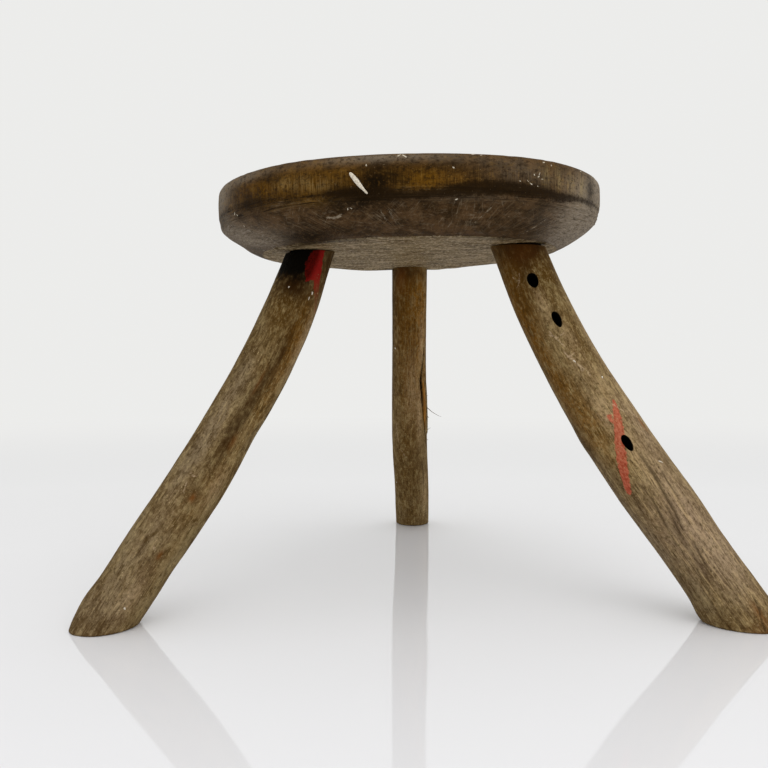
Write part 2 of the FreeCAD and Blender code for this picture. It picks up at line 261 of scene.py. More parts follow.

# Marks on the legs: soft spots, and strokes of paint, scorching and fresh wood; some dark, umber and deep
# spots are painted shade
leg_marks = {
    "left_leg": {
        "warm": (
            (60, 40, 34, 26, 0.8), (180, 30, 60, 20, 0.3), (48, -10, 18, 40, 0.35), (8, 68, 14, 14, 0.7),
        ),
        "umber": (
            (40, -10, 26, 60, 0.8), (64, 0, 22, 30, 0.5), (90, -60, 18, 26, 0.7), (150, -60, 18, 26, 0.5),
            (192, 10, 22, 18, 0.4), (236, 20, 16, 20, 0.4), (14, 76, 26, 16, 0.8), (262, -40, 18, 50, 0.3),
            (292, 0, 16, 70, 0.7), (-50, 0, 22, 600, 1.0),
        ),
        "grey": (
            (100, -24, 30, 30, 0.2), (150, -26, 40, 26, 0.4), (230, -10, 50, 50, 0.3),
            (280, -20, 20, 60, 0.4),
        ),
        # The dark spots nearest the seat are painted shade under it; the others are dark patches in the
        # wood
        "dark": (
            (22, -30, 12, 60, 0.9), (33, 2, 9, 40, 0.8), (76, 30, 20, 14, 0.65), (106, 22, 22, 13, 0.65),
            (142, 16, 24, 14, 0.85), (100, -40, 14, 16, 0.35), (165, -32, 10, 14, 0.3),
            (232, 14, 10, 16, 0.3), (286, -10, 14, 40, 0.25), (190, 16, 8, 8, 0.35), (4, 76, 18, 34, 0.75),
            (112, -8, 10, 8, 0.3),
        ),
        "pale": ((176, 46, 14, 16, 0.3), (256, 24, 16, 16, 0.25), (62, 76, 26, 16, 0.5)),
        "rust": ((104, 14, 9, 3, 0.3), (146, 29, 5, 5, 0.35), (190, 16, 3, 5, 0.6), (230, 24, 3, 4, 0.5)),
        "red": (
            ((-2, 30, 3.0), (6, 26, 5.2), (13, 24, 6.2), (19, 25, 5.0), (25, 21, 1.0)),
            ((10, 36, 3.0), (19, 43, 3.0), (26, 50, 2.8), (33, 62, 2.4), (41, 77, 1.0)),
        ),
        # Deep spots darken the red paint: a deeper red, and partly painted shade under the seat
        "deep": ((20, 40, 60, 90, 0.5), (6, 14, 14, 16, 0.7), (20, 12, 8, 14, 0.4)),
        "worn": ((36, 64, 16, 34, 0.8),),
        "char": (((3, -100, 14), (9, -50, 16), (10, -16, 14), (18, 6, 5)),),
        "gold": ((58, 44, 26, 20, 0.5), (96, 50, 40, 20, 0.3)),
        "streaky": ((110, 30, 60, 22, 0.8), (250, 20, 30, 60, 0.4), (120, 180, 120, 70, 0.8)),
    },
    "right_leg": {
        "warm": ((24, -50, 34, 34, 1.0), (90, -60, 44, 24, 0.7), (0, 20, 22, 60, 0.8)),
        "grey": (
            (200, -80, 90, 30, 0.3), (150, 40, 30, 20, 0.3), (230, 40, 50, 40, 0.3),
            (225, -10, 45, 60, 0.3),
        ),
        "umber": (
            (12, 0, 22, 70, 0.7), (26, 20, 24, 50, 0.9), (84, 10, 16, 30, 0.7), (84, 40, 24, 30, 0.3),
            # The spot at turn 88 is painted shade down the right leg's right side
            (80, 88, 110, 12, 0.7), (196, -40, 30, 20, 0.4), (288, 10, 16, 60, 0.9), (-50, 0, 22, 600, 1.0),
        ),
        "pale": (
            (92, -3, 14, 12, 0.2), (46, -8, 14, 10, 0.3), (74, 12, 14, 12, 0.25), (112, 20, 22, 16, 0.25),
            (150, 0, 24, 14, 0.4), (140, 44, 26, 16, 0.25), (176, 20, 40, 20, 0.25), (90, 66, 50, 16, 0.35),
            (150, 70, 40, 16, 0.35), (128, -8, 14, 14, 0.35), (240, 30, 50, 50, 0.3),
            (210, -20, 30, 40, 0.25),
        ),
        "worn": ((150, -10, 60, 60, 0.3),),
        # The dark spots nearest the seat are painted shade under it; the others are dark patches in the
        # wood
        "dark": (
            (0, -10, 12, 90, 0.85), (9, 14, 9, 40, 0.9), (22, -14, 14, 14, 0.5), (40, -40, 20, 16, 0.3),
            (118, -56, 20, 10, 0.2), (142, -80, 16, 16, 0.6), (214, -14, 12, 7, 0.4),
            (238, -16, 20, 12, 0.4),
        ),
        "rust": ((8, -10, 10, 40, 0.2), (148, 52, 5, 4, 0.8), (282, 16, 8, 6, 0.4), (292, -10, 6, 40, 0.2)),
        "red": (
            (
                (126, 22, 0.8), (132, 15, 2.0), (142, 2, 3.0), (154, -16, 3.0), (166, -31, 2.8),
                (180, -46, 1.6),
            ),
            ((133, -1, 1.3), (137, -3, 1.1)),
        ),
        "gold": ((50, -60, 40, 24, 0.5), (96, -64, 40, 20, 0.3), (132, -44, 30, 24, 0.5)),
        "streaky": (
            (205, 0, 56, 90, 1.0), (270, 0, 30, 60, 0.7), (130, 20, 30, 40, 0.5), (120, 180, 120, 70, 0.8),
        ),
    },
    "rear_leg": {
        "warm": (
            (15, -22, 46, 46, 1.0), (70, 0, 40, 60, 0.6), (120, 20, 40, 40, 0.4), (200, 0, 80, 90, 0.35),
        ),
        "umber": (
            (120, -60, 90, 26, 0.5), (225, -20, 40, 60, 0.6), (170, 0, 40, 30, 0.3), (-50, 0, 22, 600, 1.0),
        ),
        # The dark spot nearest the seat is painted shade under it; the others are dark patches in the wood
        "dark": ((-2, -20, 10, 60, 0.8), (44, -80, 60, 20, 0.8), (200, 10, 30, 30, 0.15)),
        "rust": ((6, -30, 12, 20, 0.35),),
        "gold": ((24, 30, 34, 36, 1.0), (66, 44, 34, 24, 0.7), (100, 10, 50, 50, 0.35)),
        "pale": (
            (66, 46, 24, 12, 0.5), (146, 34, 26, 10, 0.5), (240, 46, 30, 14, 0.4), (110, 10, 36, 24, 0.3),
        ),
        "fresh": (
            (
                (104, 50, 0.3), (115, 53, 1.3), (128, 55, 1.8), (139, 56, 1.7), (151, 58, 1.1),
                (162, 60, 0.2),
            ),
        ),
        "streaky": ((80, 30, 50, 60, 0.6), (240, 20, 30, 60, 0.4), (120, 180, 120, 70, 0.8)),
    },
}

# Checks and cracks in the legs: their strokes and how deep they are
leg_cracks = {
    "left_leg": (
        (1.2, ((176, 96, 0.2), (200, 100, 0.6), (228, 97, 0.2))),
        (1.2, ((60, 178, 0.2), (110, 186, 0.7), (150, 183, 0.2))),
    ),
    "right_leg": (
        (0.9, ((162, 6, 0.2), (172, 8, 0.5), (182, 7, 0.8), (190, 4, 0.7), (204, 1, 0.6), (216, -6, 0.2))),
        (0.7, ((198, -5, 0.2), (208, -9, 0.5), (218, -14, 0.2))),
        (0.6, ((224, -2, 0.2), (236, -8, 0.4), (246, -12, 0.2))),
        (0.8, ((240, -26, 0.2), (248, -29, 0.5), (256, -31, 0.2))),
        (1.0, ((272, 28, 0.2), (280, 22, 0.6), (286, 12, 0.4), (292, 8, 0.7))),
        (0.5, ((180, 22, 0.2), (196, 20, 0.4), (210, 15, 0.2))),
        (0.6, ((184, -14, 0.2), (200, -22, 0.5), (222, -30, 0.2))),
        (1.2, ((90, 160, 0.2), (140, 168, 0.8), (190, 171, 0.2))),
        (1.0, ((200, 210, 0.2), (230, 214, 0.7), (262, 220, 0.2))),
    ),
    "rear_leg": (
        (0.6, ((196, 40, 0.2), (214, 42, 0.5), (236, 40, 0.2))),
        (1.0, ((40, 170, 0.2), (90, 176, 0.7), (130, 180, 0.2))),
        (1.4, ((258, -68, 0.4), (262, -66, 1.2), (265, -66, 0.3))),
        (1.0, ((150, 230, 0.2), (200, 226, 0.6), (240, 228, 0.2))),
    ),
}

# Pale scratches on the legs
leg_scratches = {
    "left_leg": (
        ((176, -16, 0.0), (178, -6, 0.2), (176, 4, 0.0)), ((181, -14, 0.0), (184, -8, 0.2), (190, -4, 0.0)),
        ((222, 0, 0.0), (228, 8, 0.2), (229, 16, 0.0)),
    ),
    "right_leg": (
        ((68, -24, 0.1), (72, -10, 0.4), (71, 4, 0.1)), ((66, -20, 0.1), (74, -12, 0.4), (80, -6, 0.1)),
        ((82, -12, 0.1), (88, -9, 0.4), (90, -2, 0.1)), ((86, -14, 0.1), (87, -4, 0.4), (86, 4, 0.1)),
        ((90, -6, 0.2), (97, 4, 0.5), (99, 6, 0.1)), ((94, -2, 0.2), (99, 2, 0.5)),
        ((100, 8, 0.2), (104, 10, 0.4)), ((126, 14, 0.2), (134, 26, 0.4), (136, 30, 0.1)),
        ((22, -48, 0.0), (26, -40, 0.2), (25, -30, 0.0)), ((30, -46, 0.0), (27, -36, 0.25), (22, -30, 0.0)),
        ((134, 38, 0.0), (141, 46, 0.3), (143, 52, 0.0)),
    ),
    "rear_leg": (
        ((180, -30, 0.0), (188, -18, 0.25), (190, -8, 0.0)),
        ((150, -50, 0.0), (166, -46, 0.25), (172, -40, 0.0)),
    ),
}

# Beetle holes in the right leg: width, length, share of the drop and turn
beetle_holes = ((7.2, 10.6, 0.112, -8.0), (5.8, 11.6, 0.226, 5.0), (5.5, 11.8, 0.548, 0.0))
hole_depth = 15.0
hole_taper = 0.14

# Height over a hole's mouth and share of its width
hole_sections = (
    (-hole_depth, 0.75), (-hole_depth / 2, 0.92), (-1.4, 0.97), (-0.3, 1.0), (0.4, 1.1), (6, 1.2),
)

# Drying split in the rear leg, with the sliver that has lifted beside it
split_path = (
    (72, 59, 0.2), (84, 55, 0.5), (94, 47, 0.8), (103, 41, 1.1), (117, 45, 1.0), (127, 46, 0.5),
    (139, 49, 0.2), (155, 56, 0.2), (175, 65, 0.45), (186, 71, 0.2),
)
split_depth = 6.0
split_shade = 0.97
split_shade_edges = (-0.55, -0.1)
sliver_path = ((90, 64, 1), (112, 62, 4), (128, 66, 5), (150, 74, 4), (168, 80, 1))
sliver_lift = 1.0
sliver_edges = (-2.5, 2.0)

# Depths between which the painted shade of a hollow darkens, and how far from the seat and the floor this
# painted shade begins
hollow_depths = (0.4, 1.2)
hollow_least_along = 2.0
hollow_least_height = 14.0

# Torn fibres beside the split: place, turn, reach aside, drop, and thickness
torn_fibres = (
    (139, 82, 14.0, 8.5, 0.7), (149, 80, 2.6, 1.0, 1.3), (178, 84, 2.2, 0.4, 1.1),
    (128, 88, 1.8, -1.0, 0.8), (166, 80, 3.4, -3.0, 0.4),
)

# How a fibre falls, sways and thins towards its tip, and the side that it sways to
fibre_fall_shares = (1.6, -0.6)
fibre_sway_share = 0.12
fibre_sway_turn = 4.0
fibre_thinning_share = 0.7
fibre_side = (0.3, 1.0, 0.2)

# How far below a leg's nominal surface its skin may lie, and how far apart the grains of the legs are
skin_depth = 3.2
leg_grain_shift = 300.0

# How much fuller than its nominal size each leg is
leg_fullness = {"left_leg": 0.3, "right_leg": 0.75, "rear_leg": 0.3}

# Worn and fuller places of each leg: height over the floor, turn, reach up, reach round and depth
leg_wear = {
    "left_leg": (
        (-2, -84, 6, 34, 2.4), (18, -84, 9, 34, -1.2), (0, 10, 30, 35, -1.5), (30, 84, 14, 30, 0.9),
        (116, 84, 12, 34, 0.9), (82, 84, 14, 34, -0.6),
    ),
    "right_leg": (
        (0, 84, 7, 34, 2.4), (4, -84, 7, 30, -2.0), (0, -20, 30, 40, -0.8), (165, -84, 30, 34, 1.3),
        (52, -84, 36, 34, 1.3), (114, -84, 10, 34, -0.9), (82, 84, 18, 34, -0.9),
    ),
    "rear_leg": ((0, 170, 6, 40, 2.0), (0, -60, 10, 24, 0.8)),
}

# Camera, by its place in front of the seat
camera_place = (-28.5, -656.5, 158.5)
camera_pitch = -0.65
camera_sensor = 36.0
camera_lens = 36.5625
camera_clip_metres = 0.01

# Floor
floor_radius = 9000.0
floor_thickness = 20.0
floor_segments = 64
floor_fade_start = 0.7
floor_fade_end = 2.4
floor_colour = (234, 234, 237)
floor_sections = ((0.1, 0), (0.4, 0), (1, 0), (1, -floor_thickness), (0.1, -floor_thickness))
floor_sheen_metres = (0.4, 0.4, 0.4)
floor_roughness = (0.03, 0.06)

# Light of the surroundings, which also show as the backdrop
backdrop_tint = (1.0, 1.0, 0.985, 1.0)
backdrop_strength = 0.84

# Lamps, in metres: name, place, target, width, power and tint
lamps = (
    ("overhead", (0.15, -0.75, 1.5), (0, 0, 0.1), 1.0, 5, (1.0, 0.99, 0.97)),
    ("front", (0.5, -1.45, 0.6), (0, 0, 0.15), 1.2, 5, (1.0, 1.0, 1.0)),
)

# How much the woods shine, their relief as a depth in metres and a strength, and fine grains in metres
wood_specular = 0.03
branch_bump = (0.0008, 0.8)
seat_bump = (0.0007, 0.8)
wedge_bump = (0.0004, 0.7)
paint_bump = (0.0002, 0.6)
paint_dirt_grain = (0.001, 0.001, 0.001)
pore_grain = (0.0007, 0.0007, 0.0007)
layer_grain = (0.012, 0.0009, 0.004)

# Waves of wear, tool marks and gold on the seat: least value, swing, grain and shift
seat_waves = {
    "all": ((0.05, 0.08, (30, 30, 30), 0),),
    "under": ((0.10, 0.10, (26, 1.7, 8), 3.1),),
    "bevel": (
        (0.40, 0.30, (16, 16, 11), 5.3), (0, 0.35, (24, 24, 70), 1.3), (0.09, 0.09, (1.5, 1.5, 14), 9.1),
    ),
    "side": ((0.06, 0.16, (13, 13, 30), 2.7), (0.08, 0.08, (1.3, 1.3, 12), 4.4)),
    "top": ((0.09, 0.09, (34, 2.1, 8), 6.2),),
    "ridge": ((0.2, 0.2, (9, 9, 40), 8.8),),
    "level": ((0, 0.3, (16, 16, 1.6), 6.6),),
    "rounding": ((0, 1, (7, 7, 30), 4.9),),
    "relief": ((0.8, 0.4, (1.5, 1.5, 1.5), 3.7),),
    "gold": ((0.75, 0.5, (6, 6, 9), 1.5),),
}

# Reaches of the worn ridge, the ledge over it and the top's rounding, and how far past their runs these are
ridge_reach = 2.6
level_reach = 3.6
rounding_reach = 3.0
wear_shift = 2.0

# How deep and from which noise on the rounding is worn, and how far rubbing smooths the ridge
rounding_depth = 0.3
rounding_edges = (0.1, 0.8)
rubbed_share = 0.8

# Waves of wear, grooves and ragged cracks on the legs, and how softly the cracks and the split begin
leg_waves = ((0.20, 0.32, (13, 13, 46), 0), (0, 0.12, (5, 5, 16), 3.3), (0, 0.06, (0.9, 0.9, 6), 8.1))
leg_grooves = ((0, 0.20, (1.6, 1.6, 34), 5.1),)
crack_waves = ((0, 0.5, (1.2, 1.2, 4), 7.7),)
crack_edge = 0.7
split_edge = 0.35

NOISE_CELLS = 64
noise_table = np.random.default_rng(7).uniform(-1, 1, (NOISE_CELLS,) * 3)


def noise(places, stretch, offset):
    """Smooth noise from about -1 to 1, with a grain as large as the stretch along each axis."""
    places = places / np.array(stretch) + offset
    cell = np.floor(places).astype(int)
    share = places - cell
    share = share * share * (3 - 2 * share)
    total = np.zeros(len(places))
    for corner in itertools.product((0, 1), repeat=3):
        index = (cell + corner) % NOISE_CELLS
        weight = np.prod(np.where(corner, share, 1 - share), axis=1)
        total += weight * noise_table[index[:, 0], index[:, 1], index[:, 2]]
    return total


def waves(places, table):
    """The sum of several noises. Each row is a least value, a swing, a grain and a shift."""
    return sum(least + swing * noise(places, grain, shift) for least, swing, grain, shift in table)


def ramp(values, low, high):
    """A smooth rise from 0 at low to 1 at high."""
    share = np.clip((values - low) / (high - low), 0, 1)
    return share * share * (3 - 2 * share)


def near(values, middle, reach):
    """A soft bump from 0 to 1, highest at the middle."""
    return np.exp(-(((values - middle) / reach) ** 2))


def spots(along, turn, table):
    """The sum of soft spots. Each row is a place, a turn, a reach along, a reach round and a strength."""
    total = np.zeros(len(along))
    for place, middle, reach, reach_round, strength in table:
        aside = (turn - middle + 180) % 360 - 180
        total += strength * near(along, place, reach) * near(aside, 0, reach_round)
    return total


def on_line(places, first, last):
    """How far along a straight line the nearest point to each place lies, and how far away that is."""
    line = last - first
    share = np.clip((places - first) @ line / (line @ line), 0, 1)
    return share, np.linalg.norm(places - first - share[:, None] * line, axis=1)


def stroke(along, turn, radius, path):
    """How far inside a stroke each place lies. The path's rows are a place, a turn and a half width."""
    inside = np.full(len(along), -100.0)
    aside = np.radians((turn + 180) % 360 - 180) * radius
    places = np.stack([along, aside], axis=1)
    corners = np.array([(row[0], radians(row[1]) * radius) for row in path])
    for number in range(len(path) - 1):
        share, gap = on_line(places, corners[number], corners[number + 1])
        start = path[number][2]
        inside = np.maximum(inside, start + (path[number + 1][2] - start) * share - gap)
    return inside


def strokes(along, turn, radius, paths):
    """How far inside the nearest of several strokes each place lies."""
    inside = np.full(len(along), -100.0)
    for path in paths:
        inside = np.maximum(inside, stroke(along, turn, radius, path))
    return inside


def unit(rows):
    """The rows of an array, each with length one."""
    return rows / np.linalg.norm(rows, axis=-1, keepdims=True)


def curve(stations, values, at):
    """A smooth curve through the values at the stations."""
    stations = np.array(stations, float)
    values = np.array(values, float)
    slopes = np.gradient(values, stations, axis=0)
    index = np.clip(np.searchsorted(stations, at) - 1, 0, len(stations) - 2)
    width = stations[index + 1] - stations[index]
    share = (at - stations[index]) / width
    if values.ndim > 1:
        width = width[:, None]
        share = share[:, None]
    rise = 3 * share**2 - 2 * share**3
    start_slope = (share**3 - 2 * share**2 + share) * width
    end_slope = (share**3 - share**2) * width
    ends = (1 - rise) * values[index] + rise * values[index + 1]
    return ends + start_slope * slopes[index] + end_slope * slopes[index + 1]


def lengths_along(points):
    """How far along a line each of its points lies from the first one."""
    return np.concatenate([[0], np.cumsum(np.linalg.norm(np.diff(points, axis=0), axis=1))])


def heading(angle):
    """The level direction at an angle in degrees."""
    return Vector((cos(radians(angle)), sin(radians(angle)), 0))


def stitch(rings):
    """Vertices and faces of a closed skin through rings, with a fan at both ends.

    Neighbouring rings have as many vertices, or one has half as many as the other."""
    vertices = np.concatenate([rings[0].mean(axis=0)[None], *rings, rings[-1].mean(axis=0)[None]])
    faces = []
    start = 1
    for vertex in range(len(rings[0])):
        faces.append((0, start + (vertex + 1) % len(rings[0]), start + vertex))
    for ring, following in zip(rings, rings[1:]):
        count = len(ring)
        after = start + count
        if len(following) == count:
            for vertex in range(count):
                beside = (vertex + 1) % count
                faces.append((start + vertex, start + beside, after + beside, after + vertex))
        elif len(following) == 2 * count:
            for vertex in range(count):
                beside = (vertex + 1) % count
                middle = after + 2 * vertex + 1
                faces.append((start + vertex, middle, after + 2 * vertex))
                faces.append((start + vertex, start + beside, middle))
                faces.append((start + beside, after + (2 * vertex + 2) % (2 * count), middle))
        else:
            half = len(following)
            for vertex in range(half):
                middle = start + 2 * vertex + 1
                beside = (vertex + 1) % half
                faces.append((start + 2 * vertex, middle, after + vertex))
                faces.append((middle, after + beside, after + vertex))
                faces.append((middle, start + (2 * vertex + 2) % count, after + beside))
        start = after
    last = len(vertices) - 1
    count = len(rings[-1])
    for vertex in range(count):
        faces.append((start + vertex, start + (vertex + 1) % count, last))
    return vertices, faces


def circle(count):
    """Even turns round a circle, in radians."""
    return np.arange(count) * 2 * pi / count


def add_object(name, data):
    """A new object in the scene."""
    item = bpy.data.objects.new(name, data)
    bpy.context.scene.collection.objects.link(item)
    return item


def new_piece(name, vertices, faces):
    """An object from vertices in millimetres, with its faces turned outward."""
    mesh = bpy.data.meshes.new(name)
    mesh.from_pydata((np.asarray(vertices) * MILLIMETRE).tolist(), [], faces)
    editable = bmesh.new()
    editable.from_mesh(mesh)
    bmesh.ops.recalc_face_normals(editable, faces=editable.faces)
    editable.to_mesh(mesh)
    editable.free()
    return add_object(name, mesh)


def cut(piece, cutters):
    """Cuts closed objects out of a piece and removes them."""
    for cutter in cutters:
        difference = piece.modifiers.new("cut", "BOOLEAN")
        difference.operation = "DIFFERENCE"
        difference.solver = "EXACT"
        difference.object = cutter
    graph = bpy.context.evaluated_depsgraph_get()
    mesh = bpy.data.meshes.new_from_object(piece.evaluated_get(graph), depsgraph=graph)
    piece.modifiers.clear()
    piece.data = mesh
    for cutter in cutters:
        bpy.data.objects.remove(cutter)


def places_of(piece):
    """The vertices of a piece, in millimetres."""
    rows = np.zeros(len(piece.data.vertices) * 3)
    piece.data.vertices.foreach_get("co", rows)
    return rows.reshape(-1, 3) / MILLIMETRE


def store(piece, name, values):
    """Keeps a number or a vector for each vertex, for the materials."""
    values = np.asarray(values, float)
    kind = "FLOAT_VECTOR" if values.ndim > 1 else "FLOAT"
    key = "vector" if values.ndim > 1 else "value"
    piece.data.attributes.new(name, kind, "POINT").data.foreach_set(key, values.ravel())


# Seat

seat_mount = next(mount for mount in frame["record"]["mounts"] if mount["name"] == "seat_top")
seat_normal = Vector(seat_mount["axis"]).normalized()
seat_base = Vector(seat_mount["pos_m"]) / MILLIMETRE - seat_normal * seat_thickness
seat_turn = UP.rotation_difference(seat_normal)
seat_underside_run = seat_diameter / 2 - seat_bevel_width


def seat_profile():
    """Half section of the seat from the middle of its underside to the middle of its top."""
    radius = seat_diameter / 2
    bevel_foot = np.array([radius - seat_bevel_width, 0.0])
    side_foot = np.array([radius, seat_bevel_height])
    side_head = np.array([radius - seat_side_bulge, seat_thickness - seat_top_round])
    round_centre = side_head - [seat_top_round, 0]

    def bulged(start, end, bulge):
        """Points from one corner to just before the next, swelling outward in the middle."""
        line = end - start
        out = np.array([line[1], -line[0]]) / np.linalg.norm(line)
        shares = np.arange(0, 1, seat_edge_step / np.linalg.norm(line))[:, None]
        return start + line * shares + out * bulge * 4 * shares * (1 - shares)

    def flat(start, end):
        """Points of a level stretch of the half section."""
        return np.linspace(start, end, round(abs(end[0] - start[0]) / seat_flat_step), endpoint=False)

    angles = np.linspace(0, pi / 2, seat_round_steps)[:-1]
    rounding = round_centre + seat_top_round * np.stack([np.cos(angles), np.sin(angles)], axis=1)
    top_start = round_centre + [0, seat_top_round]
    under = flat(np.array([seat_flat_step, 0.0]), bevel_foot)
    bevel = bulged(bevel_foot, side_foot, seat_bevel_bulge)
    side = bulged(side_foot, side_head, seat_side_swell)
    top = flat(top_start, np.array([seat_flat_step / 2, seat_thickness]))
    fine = (len(under), len(under) + len(bevel) + len(side) + len(rounding))
    return np.concatenate([under, bevel, side, rounding, top]), fine


def runs_of(profile):
    """The run of each point of the half section."""
    return lengths_along(profile) + profile[0, 0]


def seat_place(turn, run):
    """Points of the seat's nominal surface in its own frame, by turn in degrees and run."""
    profile = seat_profile()[0]
    reach, height = (np.interp(run, runs_of(profile), column) for column in profile.T)
    turn = np.radians(turn)
    return np.stack([reach * np.sin(turn), -reach * np.cos(turn), height], axis=-1)


def from_seat(rows):
    """Points of the seat's own frame in the stool's frame."""
    return rows @ np.array(seat_turn.to_matrix()).T + np.array(seat_base)


def to_seat(rows):
    """Points of the stool's frame in the seat's own frame."""
    return (rows - np.array(seat_base)) @ np.array(seat_turn.to_matrix())


def seat_run_of(rows):
    """Turn in degrees and run of points given in the seat's own frame."""
    section = np.stack([np.hypot(rows[:, 0], rows[:, 1]), rows[:, 2]], axis=1)
    turn = np.degrees(np.arctan2(rows[:, 0], -rows[:, 1]))
    profile = seat_profile()[0]
    runs = runs_of(profile)
    run = np.zeros(len(rows))
    best = np.full(len(rows), np.inf)
    for first, last, begin, end in zip(profile, profile[1:], runs, runs[1:]):
        share, gap = on_line(section, first, last)
        run = np.where(gap < best, begin + share * (end - begin), run)
        best = np.minimum(best, gap)
    return turn, run


def make_seat():
    """The seat's skin, softened and tooled."""
    profile, fine = seat_profile()
    for _ in range(seat_softenings):
        profile[1:-1] = profile[1:-1] / 2 + (profile[:-2] + profile[2:]) / 4
    runs = runs_of(profile)
    slope = unit(np.gradient(profile, axis=0))
    rings = []
    for index, (reach, height) in enumerate(profile):
        turn = circle(seat_segments if fine[0] <= index < fine[1] else seat_segments // 2)
        out = np.stack([np.sin(turn), -np.cos(turn), np.zeros(len(turn))], axis=1)
        normal = out * slope[index, 1] + np.array([0, 0, -slope[index, 0]])
        base = out * reach + np.array([0, 0, height])
        depth = seat_depth(base, np.degrees(turn), np.full(len(turn), runs[index]))
        rings.append(base - normal * depth[:, None])
    vertices, faces = stitch(rings)
    return new_piece("seat_plank", from_seat(vertices), faces)


def seat_zones(run):
    """How far each run belongs to the underside, the bevel, the side and the top."""
    past_under = ramp(run, seat_underside_run - underside_blend, seat_underside_run + underside_blend)
    past_bevel = ramp(run, seat_side_run - ridge_blend, seat_side_run + ridge_blend)
    past_side = ramp(run, seat_round_run + round_blend[0], seat_round_run + round_blend[1])
    return 1 - past_under, past_under * (1 - past_bevel), past_bevel * (1 - past_side), past_side


def seat_depth(rows, turn, run):
    """How deep wear and tool marks reach below the seat's nominal surface."""
    rim = rim_places(turn, run)
    depth = waves(rows, seat_waves["all"])
    zones = zip(("under", "bevel", "side", "top"), seat_zones(run), (rows, rim, rim, rows))
    for name, zone, places in zones:
        depth += zone * waves(places, seat_waves[name])
    unrubbed = 1 - rubbed_share * np.clip(spots(run, turn, seat_grey), 0, 1)
    depth += near(run, seat_ridge_run, ridge_reach) * unrubbed * waves(rim, seat_waves["ridge"])
    level = near(run, seat_ridge_run + wear_shift, level_reach) * unrubbed
    depth += level * np.abs(waves(rim, seat_waves["level"]))
    rounding = rounding_depth * near(run, seat_round_run + wear_shift, rounding_reach)
    depth += rounding * ramp(waves(rim, seat_waves["rounding"]), *rounding_edges)
    depth += spots(run, turn, seat_relief) * waves(rim, seat_waves["relief"])
    return depth + spots(run, turn, seat_form)


def rim_places(turn, run):
    """Places on a straight-sided drum as wide as the seat, with the run as height and with flat ends."""
    turn = np.radians(turn)
    top_share = (seat_full_run - run) / (seat_full_run - seat_top_run)
    radius = seat_diameter / 2 * np.clip(np.minimum(run / seat_underside_run, top_share), 0, 1)
    height = np.clip(run, seat_underside_run, seat_top_run)
    return np.stack([radius * np.sin(turn), -radius * np.cos(turn), height], axis=-1)


# Legs


